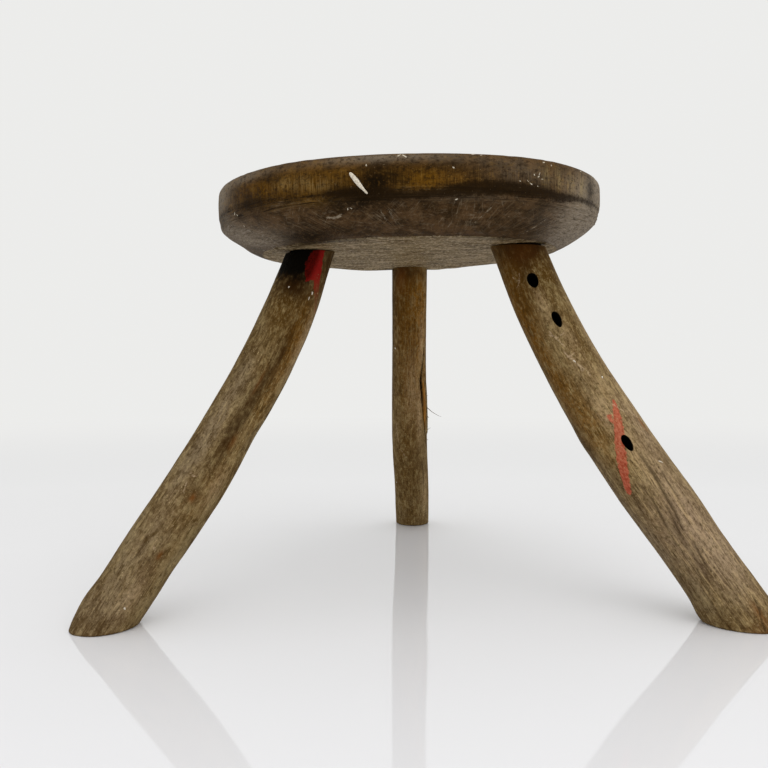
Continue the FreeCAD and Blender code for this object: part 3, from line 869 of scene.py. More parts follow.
class Branch:
    """A bent leg: its axis, its radius and the directions round it."""

    def __init__(self, name):
        sizes = leg_sizes[name]
        self.name = name
        self.outward = heading(sizes["heading"])
        socket = heading(sizes["socket"])
        self.top = self.on_underside(seat_base + socket * (seat_diameter / 2 - sizes["inset"]))
        below_seat = Vector((self.top.x, self.top.y, 0))
        sideways = UP.cross(self.outward)
        points = []
        for drop, splay, sway in zip(drop_shares, splay_shares, sway_shares[name]):
            splayed = self.top.lerp(below_seat, drop) + self.outward * (sizes["splay"] * splay)
            points.append(splayed + sideways * (sizes["sway"] * sway))
        self.radii = sizes["diameter"] / 2 * np.array(girth_shares[name])
        self.axis = (points[0] - points[2]).normalized()
        self.through = seat_thickness / self.axis.dot(seat_normal)
        self.end = self.top + self.axis * self.through
        self.shares = np.linspace(drop_shares[0], drop_shares[-1], axis_steps)
        self.line = curve(drop_shares, [tuple(point) for point in points], self.shares)
        lengths = lengths_along(self.line)
        self.lengths = lengths - np.interp(0, self.shares, lengths)
        self.down = unit(np.gradient(self.line, axis=0))
        self.front = unit(np.array(FRONT) - self.down * (self.down @ np.array(FRONT))[:, None])
        self.right = np.cross(self.front, self.down)
        self.girth = curve(drop_shares, self.radii, self.shares)

    def on_underside(self, point):
        """The point of the seat's tilted underside straight above or below another."""
        level = Vector((point.x, point.y, seat_base.z))
        return level - UP * (seat_normal.dot(level - seat_base) / seat_normal.z)

    def at(self, values, along):
        """Values kept along the axis, at distances down from the seat."""
        if values.ndim == 1:
            return np.interp(along, self.lengths, values)
        return np.stack([np.interp(along, self.lengths, column) for column in values.T], axis=-1)

    def out(self, along, turn):
        """The direction away from the axis."""
        turn = np.radians(turn)[..., None]
        return self.at(self.front, along) * np.cos(turn) + self.at(self.right, along) * np.sin(turn)

    def sunk(self, along, turn, depth):
        """Points at a depth below the nominal surface."""
        radius = self.at(self.girth, along) - depth
        return self.at(self.line, along) + self.out(along, turn) * radius[..., None]

    def height(self, along, turn):
        """Heights of the nominal surface over the floor."""
        return self.sunk(along, turn, 0.0)[..., 2]

    def surface(self, along, turn):
        """Points of the tooled surface."""
        return self.sunk(along, turn, leg_depth(self, along, turn))

    def spot(self, along, turn):
        """One point of the tooled surface and its direction away from the axis."""
        here = np.array([along])
        turn = np.array([turn])
        return self.surface(here, turn)[0], self.out(here, turn)[0]

    def grain(self, along, turn, inward=0.0):
        """Places in the leg as if it were straight, for grain that follows its bend."""
        radius = self.at(self.girth, along) - inward
        turn = np.radians(turn)
        shift = leg_grain_shift * list(leg_sizes).index(self.name)
        return np.stack([radius * np.cos(turn) + shift, radius * np.sin(turn), along], axis=-1)

    def shoulder_plane(self):
        """A point and the normal of the plane that ends the leg under the seat."""
        reach = self.radii[1] / cos(self.axis.angle(seat_normal))
        inner_edge = self.on_underside(self.top - self.outward * reach)
        tilt = Quaternion(seat_normal.cross(self.outward).normalized(), radians(shoulder_tilt))
        return inner_edge - seat_normal * shoulder_gap, tilt @ seat_normal

    def crossing(self, turn, point, normal):
        """How far down the axis each line of the surface crosses a plane."""
        along = np.linspace(self.lengths[0], self.lengths[-1], crossing_steps)
        rows, turns = (grid.ravel() for grid in np.meshgrid(along, turn, indexing="ij"))
        height = (self.surface(rows, turns) - np.array(point)) @ np.array(normal)
        height = height.reshape(len(along), len(turn))
        index = np.argmax(height < 0, axis=0)
        columns = np.arange(len(turn))
        above = height[index - 1, columns]
        below = height[index, columns]
        return along[index - 1] + (along[index] - along[index - 1]) * above / (above - below)

    def tenon_ring(self, turn, point, normal, growth=0.0):
        """Where the lines of the tenon cross a plane."""
        axis = np.array(self.axis)
        front = unit(np.array(FRONT) - axis * (axis @ np.array(FRONT)))
        right = np.cross(front, -axis)
        angle = np.radians(turn)[:, None]
        out = front * np.cos(angle) + right * np.sin(angle)
        base = np.array(self.top) + out * (self.radii[1] - tenon_shoulder + growth)
        lean = axis - out * (tenon_taper / self.through)
        reach = ((np.array(point) - base) @ np.array(normal)) / (lean @ np.array(normal))
        return base + lean * reach[:, None]

    def locate(self, rows):
        """Distance down the axis, turn and depth below the nominal surface of points."""
        nearest = np.zeros(len(rows), int)
        for start in range(0, len(rows), locate_block):
            block = rows[start : start + locate_block]
            gaps = (block**2).sum(axis=1)[:, None] - 2 * block @ self.line.T + (self.line**2).sum(axis=1)
            nearest[start : start + locate_block] = gaps.argmin(axis=1)
        offset = rows - self.line[nearest]
        ways = (self.down, self.front, self.right)
        ahead, front, right = ((offset * way[nearest]).sum(axis=1) for way in ways)
        depth = self.girth[nearest] - np.hypot(front, right)
        return self.lengths[nearest] + ahead, np.degrees(np.arctan2(right, front)), depth


def leg_depth(branch, along, turn):
    """How deep wear, facets and grain reach below a leg's nominal surface."""
    rows = branch.grain(along, turn)
    radius = branch.girth.mean()
    depth = waves(rows, leg_waves) + np.abs(waves(rows, leg_grooves)) - leg_fullness[branch.name]
    ragged = waves(rows, crack_waves)
    for crack_depth, path in leg_cracks[branch.name]:
        depth += crack_depth * ramp(stroke(along, turn, radius, path) + ragged, -crack_edge, crack_edge)
    depth += spots(branch.height(along, turn), turn, leg_wear[branch.name])
    if branch.name == "rear_leg":
        depth -= sliver_lift * ramp(stroke(along, turn, radius, sliver_path), *sliver_edges)
        depth += split_depth * ramp(stroke(along, turn, radius, split_path), -split_edge, split_edge)
    return depth


def torn_fibre(branch, along, turn, reach, drop, thickness):
    """A thin torn fibre that stands out of a leg's side and curls down."""
    skin, out = branch.spot(along, turn)
    shares = np.linspace(0, 1, fibre_steps)
    fall = drop * (fibre_fall_shares[0] * shares + fibre_fall_shares[1] * shares**2)
    sway = fibre_sway_share * reach * np.sin(fibre_sway_turn * shares)
    line = skin + out * (reach * shares - thickness)[:, None] - np.array(UP) * fall[:, None]
    line -= np.array(FRONT) * sway[:, None]
    ahead = unit(np.gradient(line, axis=0))
    aside = unit(np.cross(ahead, np.array(fibre_side)))
    upward = np.cross(ahead, aside)
    angle = circle(fibre_segments)[:, None]
    rings = []
    for point, side, rise, share in zip(line, aside, upward, shares):
        width = thickness / 2 * (1 - fibre_thinning_share * share)
        rings.append(point + (side * np.cos(angle) + rise * np.sin(angle)) * width)
    return new_piece("torn_fibre", *stitch(rings))


def make_leg(branch):
    """A leg's skin from its foot to the end of its tenon."""
    turn = np.degrees(circle(leg_segments))
    shoulder, shoulder_normal = branch.shoulder_plane()
    head = branch.crossing(turn, shoulder, shoulder_normal)
    foot = branch.crossing(turn, Vector((0, 0, 0)), UP)
    sole = branch.surface(foot, turn) - branch.out(foot, turn) * foot_rim_wear
    sole[:, 2] = 0
    middle = sole.mean(axis=0)
    rings = [middle + (sole - middle) * share for share in sole_shares]
    rounding = branch.surface(foot - foot_rim_wear / 2, turn)
    rings.append(rounding - branch.out(foot, turn) * (foot_rim_wear / 4))
    for share in np.linspace(0, 1, round((foot.mean() - head.mean()) / leg_step))[1:]:
        rings.append(branch.surface(foot + (head - foot) * share, turn))
    for growth in (tenon_shoulder / 2, 0.0):
        rings.append(branch.tenon_ring(turn, shoulder, shoulder_normal, growth))
    low = np.array(shoulder)
    end = np.array(seat_base + seat_normal * (seat_thickness - tenon_set_back))
    for share in tenon_shares:
        rings.append(branch.tenon_ring(turn, low + (end - low) * share, seat_normal))
    lip = branch.tenon_ring(turn, end, seat_normal)
    middle = lip.mean(axis=0)
    rings += [middle + (lip - middle) * share for share in tenon_end_shares]
    return new_piece(branch.name + "_branch", *stitch(rings))


def socket_cutter(branch):
    """A cone a little larger than the tenon."""
    turn = np.degrees(circle(socket_segments))
    rings = []
    for height in (-overrun, seat_thickness + overrun):
        point = seat_base + seat_normal * height
        rings.append(branch.tenon_ring(turn, point, seat_normal, tenon_clearance))
    return new_piece("socket", *stitch(rings))


def hole_cutter(branch, width, length, drop_share, turn):
    """A blind, egg-shaped bore, long along the grain, with a worn mouth."""
    along = np.interp(drop_share, branch.shares, branch.lengths)
    mouth, out = branch.spot(along, turn)
    down = branch.at(branch.down, np.array([along]))[0]
    angle = circle(hole_segments)
    swelling = 1 - hole_taper * np.cos(angle)
    rim = down * (length / 2 * np.cos(angle))[:, None]
    rim += np.cross(out, down) * (width / 2 * np.sin(angle) * swelling)[:, None]
    rings = [mouth + out * height + rim * share for height, share in hole_sections]
    return new_piece("hole", *stitch(rings))


def paint_spot(name, piece, places, path):
    """A raised drop of paint that lies on a piece. The path's rows are its middle line and half widths."""
    tree = BVHTree.FromObject(piece, bpy.context.evaluated_depsgraph_get())
    shares = (1 - np.cos(np.linspace(0, pi, max(2 * paint_steps, paint_steps * len(path))))) / 2
    stations = np.linspace(0, 1, len(path))
    place, turn, half = (np.interp(shares, stations, column) for column in np.array(path, float).T)
    half = np.maximum(half * np.sqrt(1 - (2 * shares - 1) ** paint_end_power), paint_least)
    line = places(np.stack([place, turn], axis=-1))
    rings = []
    for point, way, width in zip(line, unit(np.gradient(line, axis=0)), half):
        normal = tree.find_nearest(Vector(point) * MILLIMETRE)[1]
        aside = unit(np.cross(np.array(normal), way))
        ring = []
        for angle in circle(paint_segments):
            lift = paint_thickness * min(1, width) * (paint_rise_share + sin(angle)) - paint_sink
            spot = Vector(point + aside * (cos(angle) * width)) * MILLIMETRE
            near_by, upright = tree.find_nearest(spot)[:2]
            ring.append(np.array(near_by) / MILLIMETRE + np.array(upright) * lift)
        rings.append(np.array(ring))
    return new_piece(name, *stitch(rings))


def speck_path(row, radius):
    """The path of a speck. Its row is a place, a turn, a half width, a reach and a lean in degrees."""
    place, turn, half, reach, lean = row
    path = []
    for share, width in speck_sections:
        rise = reach * share * cos(radians(lean)) + speck_bow_share * half * share**2
        aside = degrees(reach * share * sin(radians(lean)) / radius)
        path.append((place + rise, turn + aside, half * width))
    return path


def slot_cutter(branch):
    """The space of the wedge and of the saw cut under it."""
    across = (FRONT - branch.axis * FRONT.dot(branch.axis)).normalized()
    thick = across.cross(branch.axis)
    width = branch.radii[1] + overrun
    slope = (wedge_thickness - kerf_width) / wedge_length
    sections = (
        (-overrun, wedge_thickness + slope * overrun),
        (wedge_length, kerf_width),
        (wedge_length + kerf_below_wedge, kerf_width),
    )
    vertices = []
    for below, thickness in sections:
        point = branch.end - branch.axis * below
        for side, way in ((-1, -1), (1, -1), (1, 1), (-1, 1)):
            vertices.append(tuple(point + thick * (side * thickness / 2) + across * (way * width)))
    faces = [(0, 1, 2, 3), (8, 11, 10, 9)]
    for level in (0, 4):
        for corner in range(4):
            beside = (corner + 1) % 4
            faces.append((level + corner, level + 4 + corner, level + 4 + beside, level + beside))
    return new_piece("slot", vertices, faces)


# Materials


def colour(red, green, blue):
    """A colour as it shows on a screen, from 0 to 255, turned into a shader's own numbers."""
    shares = np.array([red, green, blue]) / 255
    linear = np.where(shares <= 0.04045, shares / 12.92, ((shares + 0.055) / 1.055) ** 2.4)
    return (*linear.tolist(), 1.0)


class Finish:
    """A material, with short ways to add its nodes."""

    def __init__(self, name):
        self.material = bpy.data.materials.new(name)
        self.material.use_nodes = True
        self.nodes = self.material.node_tree.nodes
        self.links = self.material.node_tree.links
        self.shader = self.nodes["Principled BSDF"]

    def wire(self, socket, value):
        """Links a socket to another one, or sets its number."""
        if isinstance(value, bpy.types.NodeSocket):
            self.links.new(value, socket)
        else:
            socket.default_value = value

    def node(self, kind, inputs, **settings):
        """A new node with its settings made and its inputs wired."""
        node = self.nodes.new("ShaderNode" + kind)
        for name, value in settings.items():
            setattr(node, name, value)
        for name, value in inputs.items():
            self.wire(node.inputs[name], value)
        return node

    def kept(self, name, output="Fac"):
        """What the mesh keeps under a name."""
        return self.node("Attribute", {}, attribute_name=name).outputs[output]

    def places(self):
        """Places in the piece's own frame, in metres."""
        return self.node("TexCoord", {}).outputs["Object"]

    def noise(self, places, stretch, detail, roughness=0.5, distortion=0.0):
        """Noise with a grain as large as the stretch along each axis."""
        scaled = self.node("VectorMath", {0: places, 1: stretch}, operation="DIVIDE").outputs[0]
        inputs = {"Vector": scaled, "Scale": 1.0, "Detail": detail, "Roughness": roughness}
        return self.node("TexNoise", inputs | {"Distortion": distortion}).outputs["Fac"]

    def ramp(self, value, low, high, least=0.0, most=1.0):
        """A smooth change from the least at low to the most at high."""
        inputs = {"Value": value, "From Min": low, "From Max": high, "To Min": least, "To Max": most}
        return self.node("MapRange", inputs, interpolation_type="SMOOTHSTEP").outputs["Result"]

    def sum(self, first, second, operation="ADD"):
        """Two numbers added, or worked on in another way."""
        return self.node("Math", {0: first, 1: second}, operation=operation).outputs[0]

    def product(self, first, second):
        """Two numbers multiplied."""
        return self.sum(first, second, "MULTIPLY")

    def ragged(self, value, texture, swing):
        """A value made uneven by a texture."""
        return self.sum(value, self.ramp(texture, 0.3, 0.7, -swing, swing))

    def mix(self, share, first, second, blend="MIX"):
        """A colour between two others."""
        inputs = {"Factor": share, 6: first, 7: second}
        return self.node("Mix", inputs, data_type="RGBA", blend_type=blend, clamp_factor=True).outputs[2]

    def shade(self, value, low, high, first, second):
        """A colour that changes from the first to the second as a value goes from low to high."""
        return self.mix(self.ramp(value, low, high), colour(*first), colour(*second))

    def tint(self, base, share, tint):
        """A colour over the base, as far as a share, or as what the mesh keeps under a name."""
        share = self.kept(share) if isinstance(share, str) else share
        return self.mix(share, base, colour(*tint))

    def layers(self, base, rows):
        """Colours over the base in turn: value, its low and high, the most that shows, colour and masks."""
        for value, low, high, most, tint, *masks in rows:
            share = self.ramp(value, low, high, 0, most)
            for mask in masks:
                share = self.product(mask, share)
            base = self.tint(base, share, tint)
        return base

    def finish(self, base, roughness, height, relief):
        """Sets what the shader shows. The relief is a depth in metres and a strength."""
        depth, strength = relief
        bump = self.node("Bump", {"Distance": depth, "Strength": strength, "Height": height})
        self.wire(self.shader.inputs["Normal"], bump.outputs["Normal"])
        self.wire(self.shader.inputs["Base Color"], base)
        self.wire(self.shader.inputs["Roughness"], roughness)
        return self.material


def branch_wood():
    """Weathered, peeled branch wood, mottled, streaked along its grain, painted and scorched in places."""
    wood = Finish("branch_wood")
    grain = wood.kept("grain", "Vector")
    patch = wood.noise(grain, (14, 14, 36), 3, 0.6)
    cloud = wood.noise(grain, (5.5, 5.5, 11), 4, 0.65, 0.4)
    smudge = wood.noise(grain, (3.0, 3.0, 5.5), 3, 0.6)
    mottle = wood.noise(grain, (1.5, 1.5, 2.6), 5, 0.75)
    speck = wood.noise(grain, (0.9, 0.9, 1.4), 2, 0.5)
    streak = wood.noise(grain, (2.4, 2.4, 34), 5, 0.65, 0.5)
    fibre = wood.noise(grain, (0.7, 0.7, 12), 3, 0.6)
    streaky = wood.kept("streaky")
    base = wood.shade(patch, 0.38, 0.62, (130, 111, 83), (105, 83, 53))
    base = wood.tint(base, "warm", (100, 66, 12))
    base = wood.tint(base, "gold", (136, 90, 22))
    base = wood.tint(base, "grey", (134, 118, 94))
    # Umber spots: dark brown patches, and on the right leg a painted shade down its right side
    base = wood.tint(base, "umber", (84, 60, 24))
    mottling = (
        (cloud, 0.50, 0.66, 0.6, (70, 50, 20)),
        (cloud, 0.47, 0.33, 0.5, (156, 136, 100)),
        (smudge, 0.52, 0.66, 0.5, (72, 52, 22)),
        (smudge, 0.47, 0.34, 0.5, (154, 134, 98)),
        (streak, 0.50, 0.66, 0.9, (58, 40, 18), streaky),
        (streak, 0.48, 0.36, 0.8, (176, 150, 108), streaky),
        (mottle, 0.49, 0.37, 0.55, (58, 42, 18)),
        (mottle, 0.54, 0.68, 0.45, (172, 150, 116)),
        (fibre, 0.44, 0.28, 0.65, (60, 42, 20)),
        (fibre, 0.56, 0.74, 0.55, (172, 148, 106)),
        (speck, 0.68, 0.73, 0.7, (186, 164, 124)),
        (fibre, 0.47, 0.36, 0.6, (58, 40, 18), streaky),
        (speck, 0.40, 0.31, 0.5, (50, 36, 18)),
    )
    base = wood.layers(base, mottling)
    base = wood.tint(base, wood.product(wood.kept("warm"), 0.4), (82, 50, 3))
    base = wood.tint(base, wood.product(wood.kept("pale"), wood.ramp(mottle, 0.30, 0.6)), (190, 162, 132))
    # Dark spots: dark patches in the wood, and painted shade at the top of each leg under the seat
    dark = wood.product(wood.kept("dark"), wood.ramp(smudge, 0.30, 0.60, 0.7, 1.0))
    base = wood.tint(base, dark, (46, 27, 7))
    base = wood.tint(base, "rust", (116, 66, 24))
    golden = wood.shade(fibre, 0.4, 0.6, (112, 72, 26), (160, 110, 50))
    base = wood.mix(wood.ramp(wood.kept("fresh"), -0.5, 0.4, 0, 0.9), base, golden)
    base = wood.mix(wood.ramp(wood.kept("grey"), 0, 0.4, 1, 0), base, branch_yellowing, "MULTIPLY")
    damage = (
        (wood.ragged(wood.kept("crack"), mottle, 0.9), -0.7, 0.6, 0.65, (44, 30, 12)),
        (wood.ragged(wood.kept("char"), smudge, 2.5), -9, 3, 1, (9, 6, 2)),
    )
    base = wood.layers(base, damage)
    painted = wood.ramp(wood.ragged(wood.kept("red"), mottle, 0.6), -0.3, 0.3)
    painted = wood.product(painted, wood.ramp(speck, 0.71, 0.66))
    painted = wood.product(painted, wood.ramp(wood.kept("worn"), 0, 1, 1, 0))
    red = wood.shade(mottle, 0.38, 0.62, (152, 60, 40), (184, 98, 74))
    # Where deep spots lie the red turns darker: a deeper red, and partly painted shade under the seat
    red = wood.tint(red, wood.ramp(wood.kept("deep"), 0, 0.4), (140, 26, 22))
    deep_red_and_shade = wood.shade(mottle, 0.35, 0.65, (58, 6, 2), (92, 12, 6))
    base = wood.mix(painted, base, wood.mix(wood.ramp(wood.kept("deep"), 0.5, 0.95), red, deep_red_and_shade))
    scratch = wood.ragged(wood.kept("scratch"), mottle, 0.5)
    base = wood.layers(base, ((scratch, -0.5, 0.3, 0.5, (186, 162, 132)),))
    # Near-black painted shade in the hollows: beetle holes, the wedge's slot and the rear leg's split
    base = wood.tint(base, "hollow_shade", (12, 7, 2))
    height = wood.sum(wood.product(fibre, 0.6), wood.product(mottle, 0.8))
    height = wood.sum(height, wood.product(streak, 0.5))
    wood.wire(wood.shader.inputs["Specular IOR Level"], wood_specular)
    return wood.finish(base, wood.ramp(mottle, 0.3, 0.7, 0.55, 0.8), height, branch_bump)


def seat_wood():
    """Old plank wood with a dark patina, rubbed golden on its rim, and grey there from wear and a painted
    sheen.
    """
    wood = Finish("seat_wood")
    grain = wood.kept("grain", "Vector")
    rim = wood.kept("rim", "Vector")
    swept = wood.kept("swept", "Vector")
    crossed = wood.kept("crossed", "Vector")
    run = wood.kept("run")
    gold = wood.kept("gold")
    grey = wood.kept("grey")
    board = wood.noise(grain, (60, 8, 8), 5, 0.65, 0.5)
    line = wood.noise(grain, (20, 1.0, 1.0), 4, 0.65, 0.3)
    cloud = wood.noise(rim, (11, 11, 8), 4, 0.65)
    mottle = wood.noise(rim, (2.6, 2.6, 2.0), 5, 0.75)
    speck = wood.noise(grain, (1.0, 1.0, 1.0), 2, 0.5)
    rasp = wood.noise(rim, (0.8, 0.8, 11), 4, 0.65)
    brush = wood.noise(swept, (0.9, 0.9, 13), 4, 0.65)
    ledge = wood.noise(rim, (24, 24, 1.0), 4, 0.6, 0.5)
    cross = wood.noise(crossed, (0.9, 0.9, 8), 3, 0.6)
    blotch = wood.noise(rim, (7, 7, 2.2), 4, 0.7, 0.4)
    pit = wood.noise(grain, (2.4, 6, 6), 4, 0.75)
    fleck = wood.noise(grain, (16, 4, 4), 4, 0.7, 0.3)
    broad = wood.noise(grain, (34, 26, 26), 3, 0.6)
    hatch = wood.noise(rim, (9, 9, 1.3), 4, 0.75, 0.8)
    check = wood.noise(grain, (46, 1.5, 1.5), 2, 0.5, 0.6)
    place = wood.ragged(run, mottle, 0.8)
    past_under = wood.ramp(place, *(seat_underside_run + edge for edge in underside_colour_edges))
    ridge = wood.ragged(place, ledge, ridge_colour_swing)
    past_bevel = wood.ramp(ridge, *(seat_side_run + edge for edge in ridge_colour_edges))
    past_side = wood.ramp(place, *(seat_round_run + edge for edge in round_colour_edges))
    under = wood.shade(broad, 0.40, 0.60, (128, 109, 76), (101, 80, 44))
    weathering = (
        (board, 0.51, 0.62, 0.75, (66, 49, 25)),
        (board, 0.48, 0.38, 0.65, (156, 137, 106)),
        (line, 0.53, 0.68, 0.5, (152, 134, 106)),
        (line, 0.47, 0.34, 0.6, (58, 44, 26)),
        (fleck, 0.52, 0.62, 0.75, (172, 154, 124)),
        (fleck, 0.47, 0.37, 0.75, (50, 37, 18)),
        (pit, 0.52, 0.62, 0.7, (170, 152, 122)),
        (pit, 0.47, 0.37, 0.75, (44, 32, 16)),
    )
    under = wood.layers(under, weathering)
    bevel = wood.shade(cloud, 0.38, 0.62, (82, 60, 36), (52, 36, 16))
    # Grey tint: worn grey wood, and at the rim's ends and top edge a painted sheen
    bevel = wood.tint(wood.tint(bevel, gold, (100, 72, 26)), grey, (134, 121, 103))
    rubbed_and_sheen = wood.ramp(grey, 0.1, 0.7)
    brushing = (
        (blotch, 0.54, 0.68, 0.45, (122, 106, 86)),
        (blotch, 0.46, 0.34, 0.5, (42, 29, 14)),
        (cross, 0.60, 0.70, 0.45, (124, 110, 90)),
        (cross, 0.40, 0.30, 0.5, (34, 24, 10)),
        (mottle, 0.53, 0.70, 0.45, (108, 90, 66)),
        (mottle, 0.48, 0.34, 0.65, (32, 21, 8)),
        (brush, 0.52, 0.66, 1, (126, 110, 88), wood.kept("brushed")),
        (brush, 0.46, 0.36, 1, (34, 24, 14), wood.kept("brushed")),
        (brush, 0.60, 0.70, 0.4, (118, 102, 78)),
        (hatch, 0.52, 0.64, 0.6, (156, 144, 128), rubbed_and_sheen),
        (hatch, 0.48, 0.37, 0.65, (52, 41, 27), rubbed_and_sheen),
    )
    bevel = wood.layers(bevel, brushing)
    plain = wood.ramp(run, seat_round_run, seat_round_run - side_grain_fade)
    plain = wood.product(plain, wood.ramp(grey, 0.2, 0.9, 1, 0.4))
    side = wood.shade(cloud, 0.38, 0.62, (82, 55, 18), (58, 38, 10))
    side = wood.tint(side, wood.product(gold, wood.ramp(cloud, 0.70, 0.50, 0.4, 1)), (98, 65, 8))
    # Grey tint: worn grey wood, and at the rim's ends and top edge a painted sheen
    side = wood.tint(side, grey, (134, 121, 103))
    patina = (
        (rasp, 0.50, 0.36, 0.6, (42, 27, 6), plain),
        (rasp, 0.55, 0.70, 0.45, (130, 98, 44), plain),
        (blotch, 0.47, 0.35, 0.55, (38, 24, 6)),
        (blotch, 0.54, 0.66, 0.3, (122, 92, 40)),
        (rasp, 0.40, 0.58, 1, (148, 128, 86), wood.kept("pale")),
        (mottle, 0.49, 0.38, 0.65, (36, 22, 5)),
        (mottle, 0.60, 0.72, 0.35, (126, 104, 70)),
    )
    side = wood.layers(side, patina)
    top = wood.shade(board, 0.38, 0.62, (92, 68, 40), (62, 43, 23))
    drying = (
        (cloud, 0.50, 0.70, 0.5, (114, 92, 62)),
        (line, 0.54, 0.70, 0.5, (132, 106, 70)),
        (line, 0.46, 0.34, 0.7, (36, 24, 12)),
        (check, 0.70, 0.75, 0.8, (20, 13, 6)),
    )
    top = wood.layers(top, drying)
    base = wood.mix(past_under, under, bevel)
    base = wood.mix(past_bevel, base, side)
    base = wood.mix(past_side, base, top)
    shelf = wood.ramp(run, seat_ridge_run - shelf_reaches[0], seat_ridge_run)
    shelf = wood.product(shelf, wood.ramp(run, seat_side_run + shelf_reaches[1], seat_side_run))
    shelf = wood.product(shelf, wood.ramp(grey, 0.1, 0.8, 1, 0.15))
    stain = wood.product(wood.kept("dark"), wood.ramp(mottle, 0.66, 0.50, 0.3, 1))
    marks = (
        (ledge, 0.50, 0.38, 0.85, (34, 22, 7), shelf),
        (ledge, 0.56, 0.68, 0.7, (108, 88, 58), shelf),
    )
    base = wood.tint(wood.layers(base, marks), stain, (20, 11, 2))
    soil = (
        (wood.ragged(wood.kept("dark_line"), mottle, 1.6), -1.6, 1.4, 0.88, (26, 15, 3)),
        (speck, 0.71, 0.76, 0.4, (140, 122, 94)),
        (speck, 0.31, 0.26, 0.8, (18, 12, 7)),
        (wood.ragged(wood.kept("scratch"), mottle, 0.5), -0.4, 0.3, 0.6, (158, 146, 126)),
    )
    # The last tint is painted shade on the walls of the seat's sockets
    base = wood.tint(wood.layers(base, soil), "hollow_shade", (14, 9, 5))
    low_strokes = wood.mix(past_under, line, brush)
    high_strokes = wood.mix(past_side, rasp, line)
    height = wood.sum(wood.mix(past_bevel, low_strokes, high_strokes), wood.product(mottle, 0.7))
    height = wood.sum(height, wood.product(wood.product(shelf, ledge), 1.2))
    wood.wire(wood.shader.inputs["Specular IOR Level"], wood_specular)
    return wood.finish(base, wood.ramp(mottle, 0.3, 0.7, 0.45, 0.7), height, seat_bump)


def old_paint(name, clean, dirty):
    """Old wall paint, dirty and slightly rough."""
    paint = Finish(name)
    dirt = paint.noise(paint.places(), paint_dirt_grain, 4, 0.6)
    base = paint.shade(dirt, 0.4, 0.65, clean, dirty)
    return paint.finish(base, paint.ramp(dirt, 0.3, 0.7, 0.45, 0.65), dirt, paint_bump)


def wedge_wood():
    """Dull split hardwood, seen at the end of its grain."""
    wood = Finish("wedge_wood")
    pore = wood.noise(wood.places(), pore_grain, 3, 0.6)
    layer = wood.noise(wood.places(), layer_grain, 3, 0.6)
    base = wood.shade(layer, 0.35, 0.65, (112, 86, 54), (80, 58, 34))
    base = wood.layers(base, ((pore, 0.55, 0.7, 0.7, (44, 30, 18)),))
    return wood.finish(base, wood.ramp(pore, 0.3, 0.7, 0.55, 0.75), wood.sum(pore, layer), wedge_bump)


def dress_seat(seat):
    """Gives the seat the places of its grain and colours."""
    rows = to_seat(places_of(seat))
    turn, run = seat_run_of(rows)
    radius = seat_diameter / 2
    slant = brush_slant * np.clip(brush_turning * np.sin(np.radians(turn - brush_turn)), -1, 1)
    shift = np.degrees((run - seat_side_run) / radius * slant)
    store(seat, "grain", rows)
    store(seat, "rim", rim_places(turn, run))
    store(seat, "swept", rim_places(turn - shift, run))
    store(seat, "crossed", rim_places(turn + shift, run))
    store(seat, "run", run)
    gold = spots(run, turn, seat_gold) * waves(rows, seat_waves["gold"])
    store(seat, "gold", np.clip(gold, 0, 1))
    tables = {"grey": seat_grey, "pale": seat_pale, "dark": seat_dark, "brushed": seat_brushed}
    for name, table in tables.items():
        store(seat, name, np.clip(spots(run, turn, table), 0, 1))
    store(seat, "dark_line", stroke(run, turn, radius, seat_dark_line))
    store(seat, "scratch", strokes(run, turn, radius, seat_scratches))
    # Walls of the sockets, which get a near-black painted shade
    aside, below, above = socket_shade_margins
    inside = np.hypot(rows[:, 0], rows[:, 1]) < seat_underside_run - aside
    inside &= (rows[:, 2] > below) & (rows[:, 2] < seat_thickness - above)
    store(seat, "hollow_shade", inside.astype(float))


def dress_leg(leg, branch):
    """Gives a leg the places of its grain and colours."""
    along, turn, depth = branch.locate(places_of(leg))
    radius = branch.girth.mean()
    store(leg, "grain", branch.grain(along, turn, np.maximum(depth - skin_depth, 0)))
    marks = leg_marks[branch.name]
    for name in ("warm", "gold", "grey", "umber", "pale", "dark", "rust", "deep", "worn", "streaky"):
        store(leg, name, np.clip(spots(along, turn, marks.get(name, ())), 0, 1))
    for name in ("red", "char", "fresh"):
        store(leg, name, strokes(along, turn, radius, marks.get(name, ())))
    cracks = [path for crack_depth, path in leg_cracks[branch.name]]
    store(leg, "crack", strokes(along, turn, radius, cracks))
    store(leg, "scratch", strokes(along, turn, radius, leg_scratches[branch.name]))
    # Painted shade where the skin lies below its tooled surface, as in the beetle holes and the slot
    below = depth - leg_depth(branch, along, turn)
    seen = (along > hollow_least_along) & (branch.height(along, turn) > hollow_least_height)
    hollow_shade = ramp(below, *hollow_depths) * seen
    if branch.name == "rear_leg":
        shade = split_shade * ramp(stroke(along, turn, radius, split_path), *split_shade_edges)
        hollow_shade = np.maximum(hollow_shade, shade)
    store(leg, "hollow_shade", hollow_shade)


# Stage


def make_camera():
    """The camera at the photograph's place."""
    data = bpy.data.cameras.new("camera")
    data.sensor_width = camera_sensor
    data.lens = camera_lens
    data.clip_start = camera_clip_metres
    camera = add_object("camera", data)
    camera.location = Vector(camera_place) * MILLIMETRE
    camera.rotation_euler = (radians(90 + camera_pitch), 0, 0)
    bpy.context.scene.camera = camera


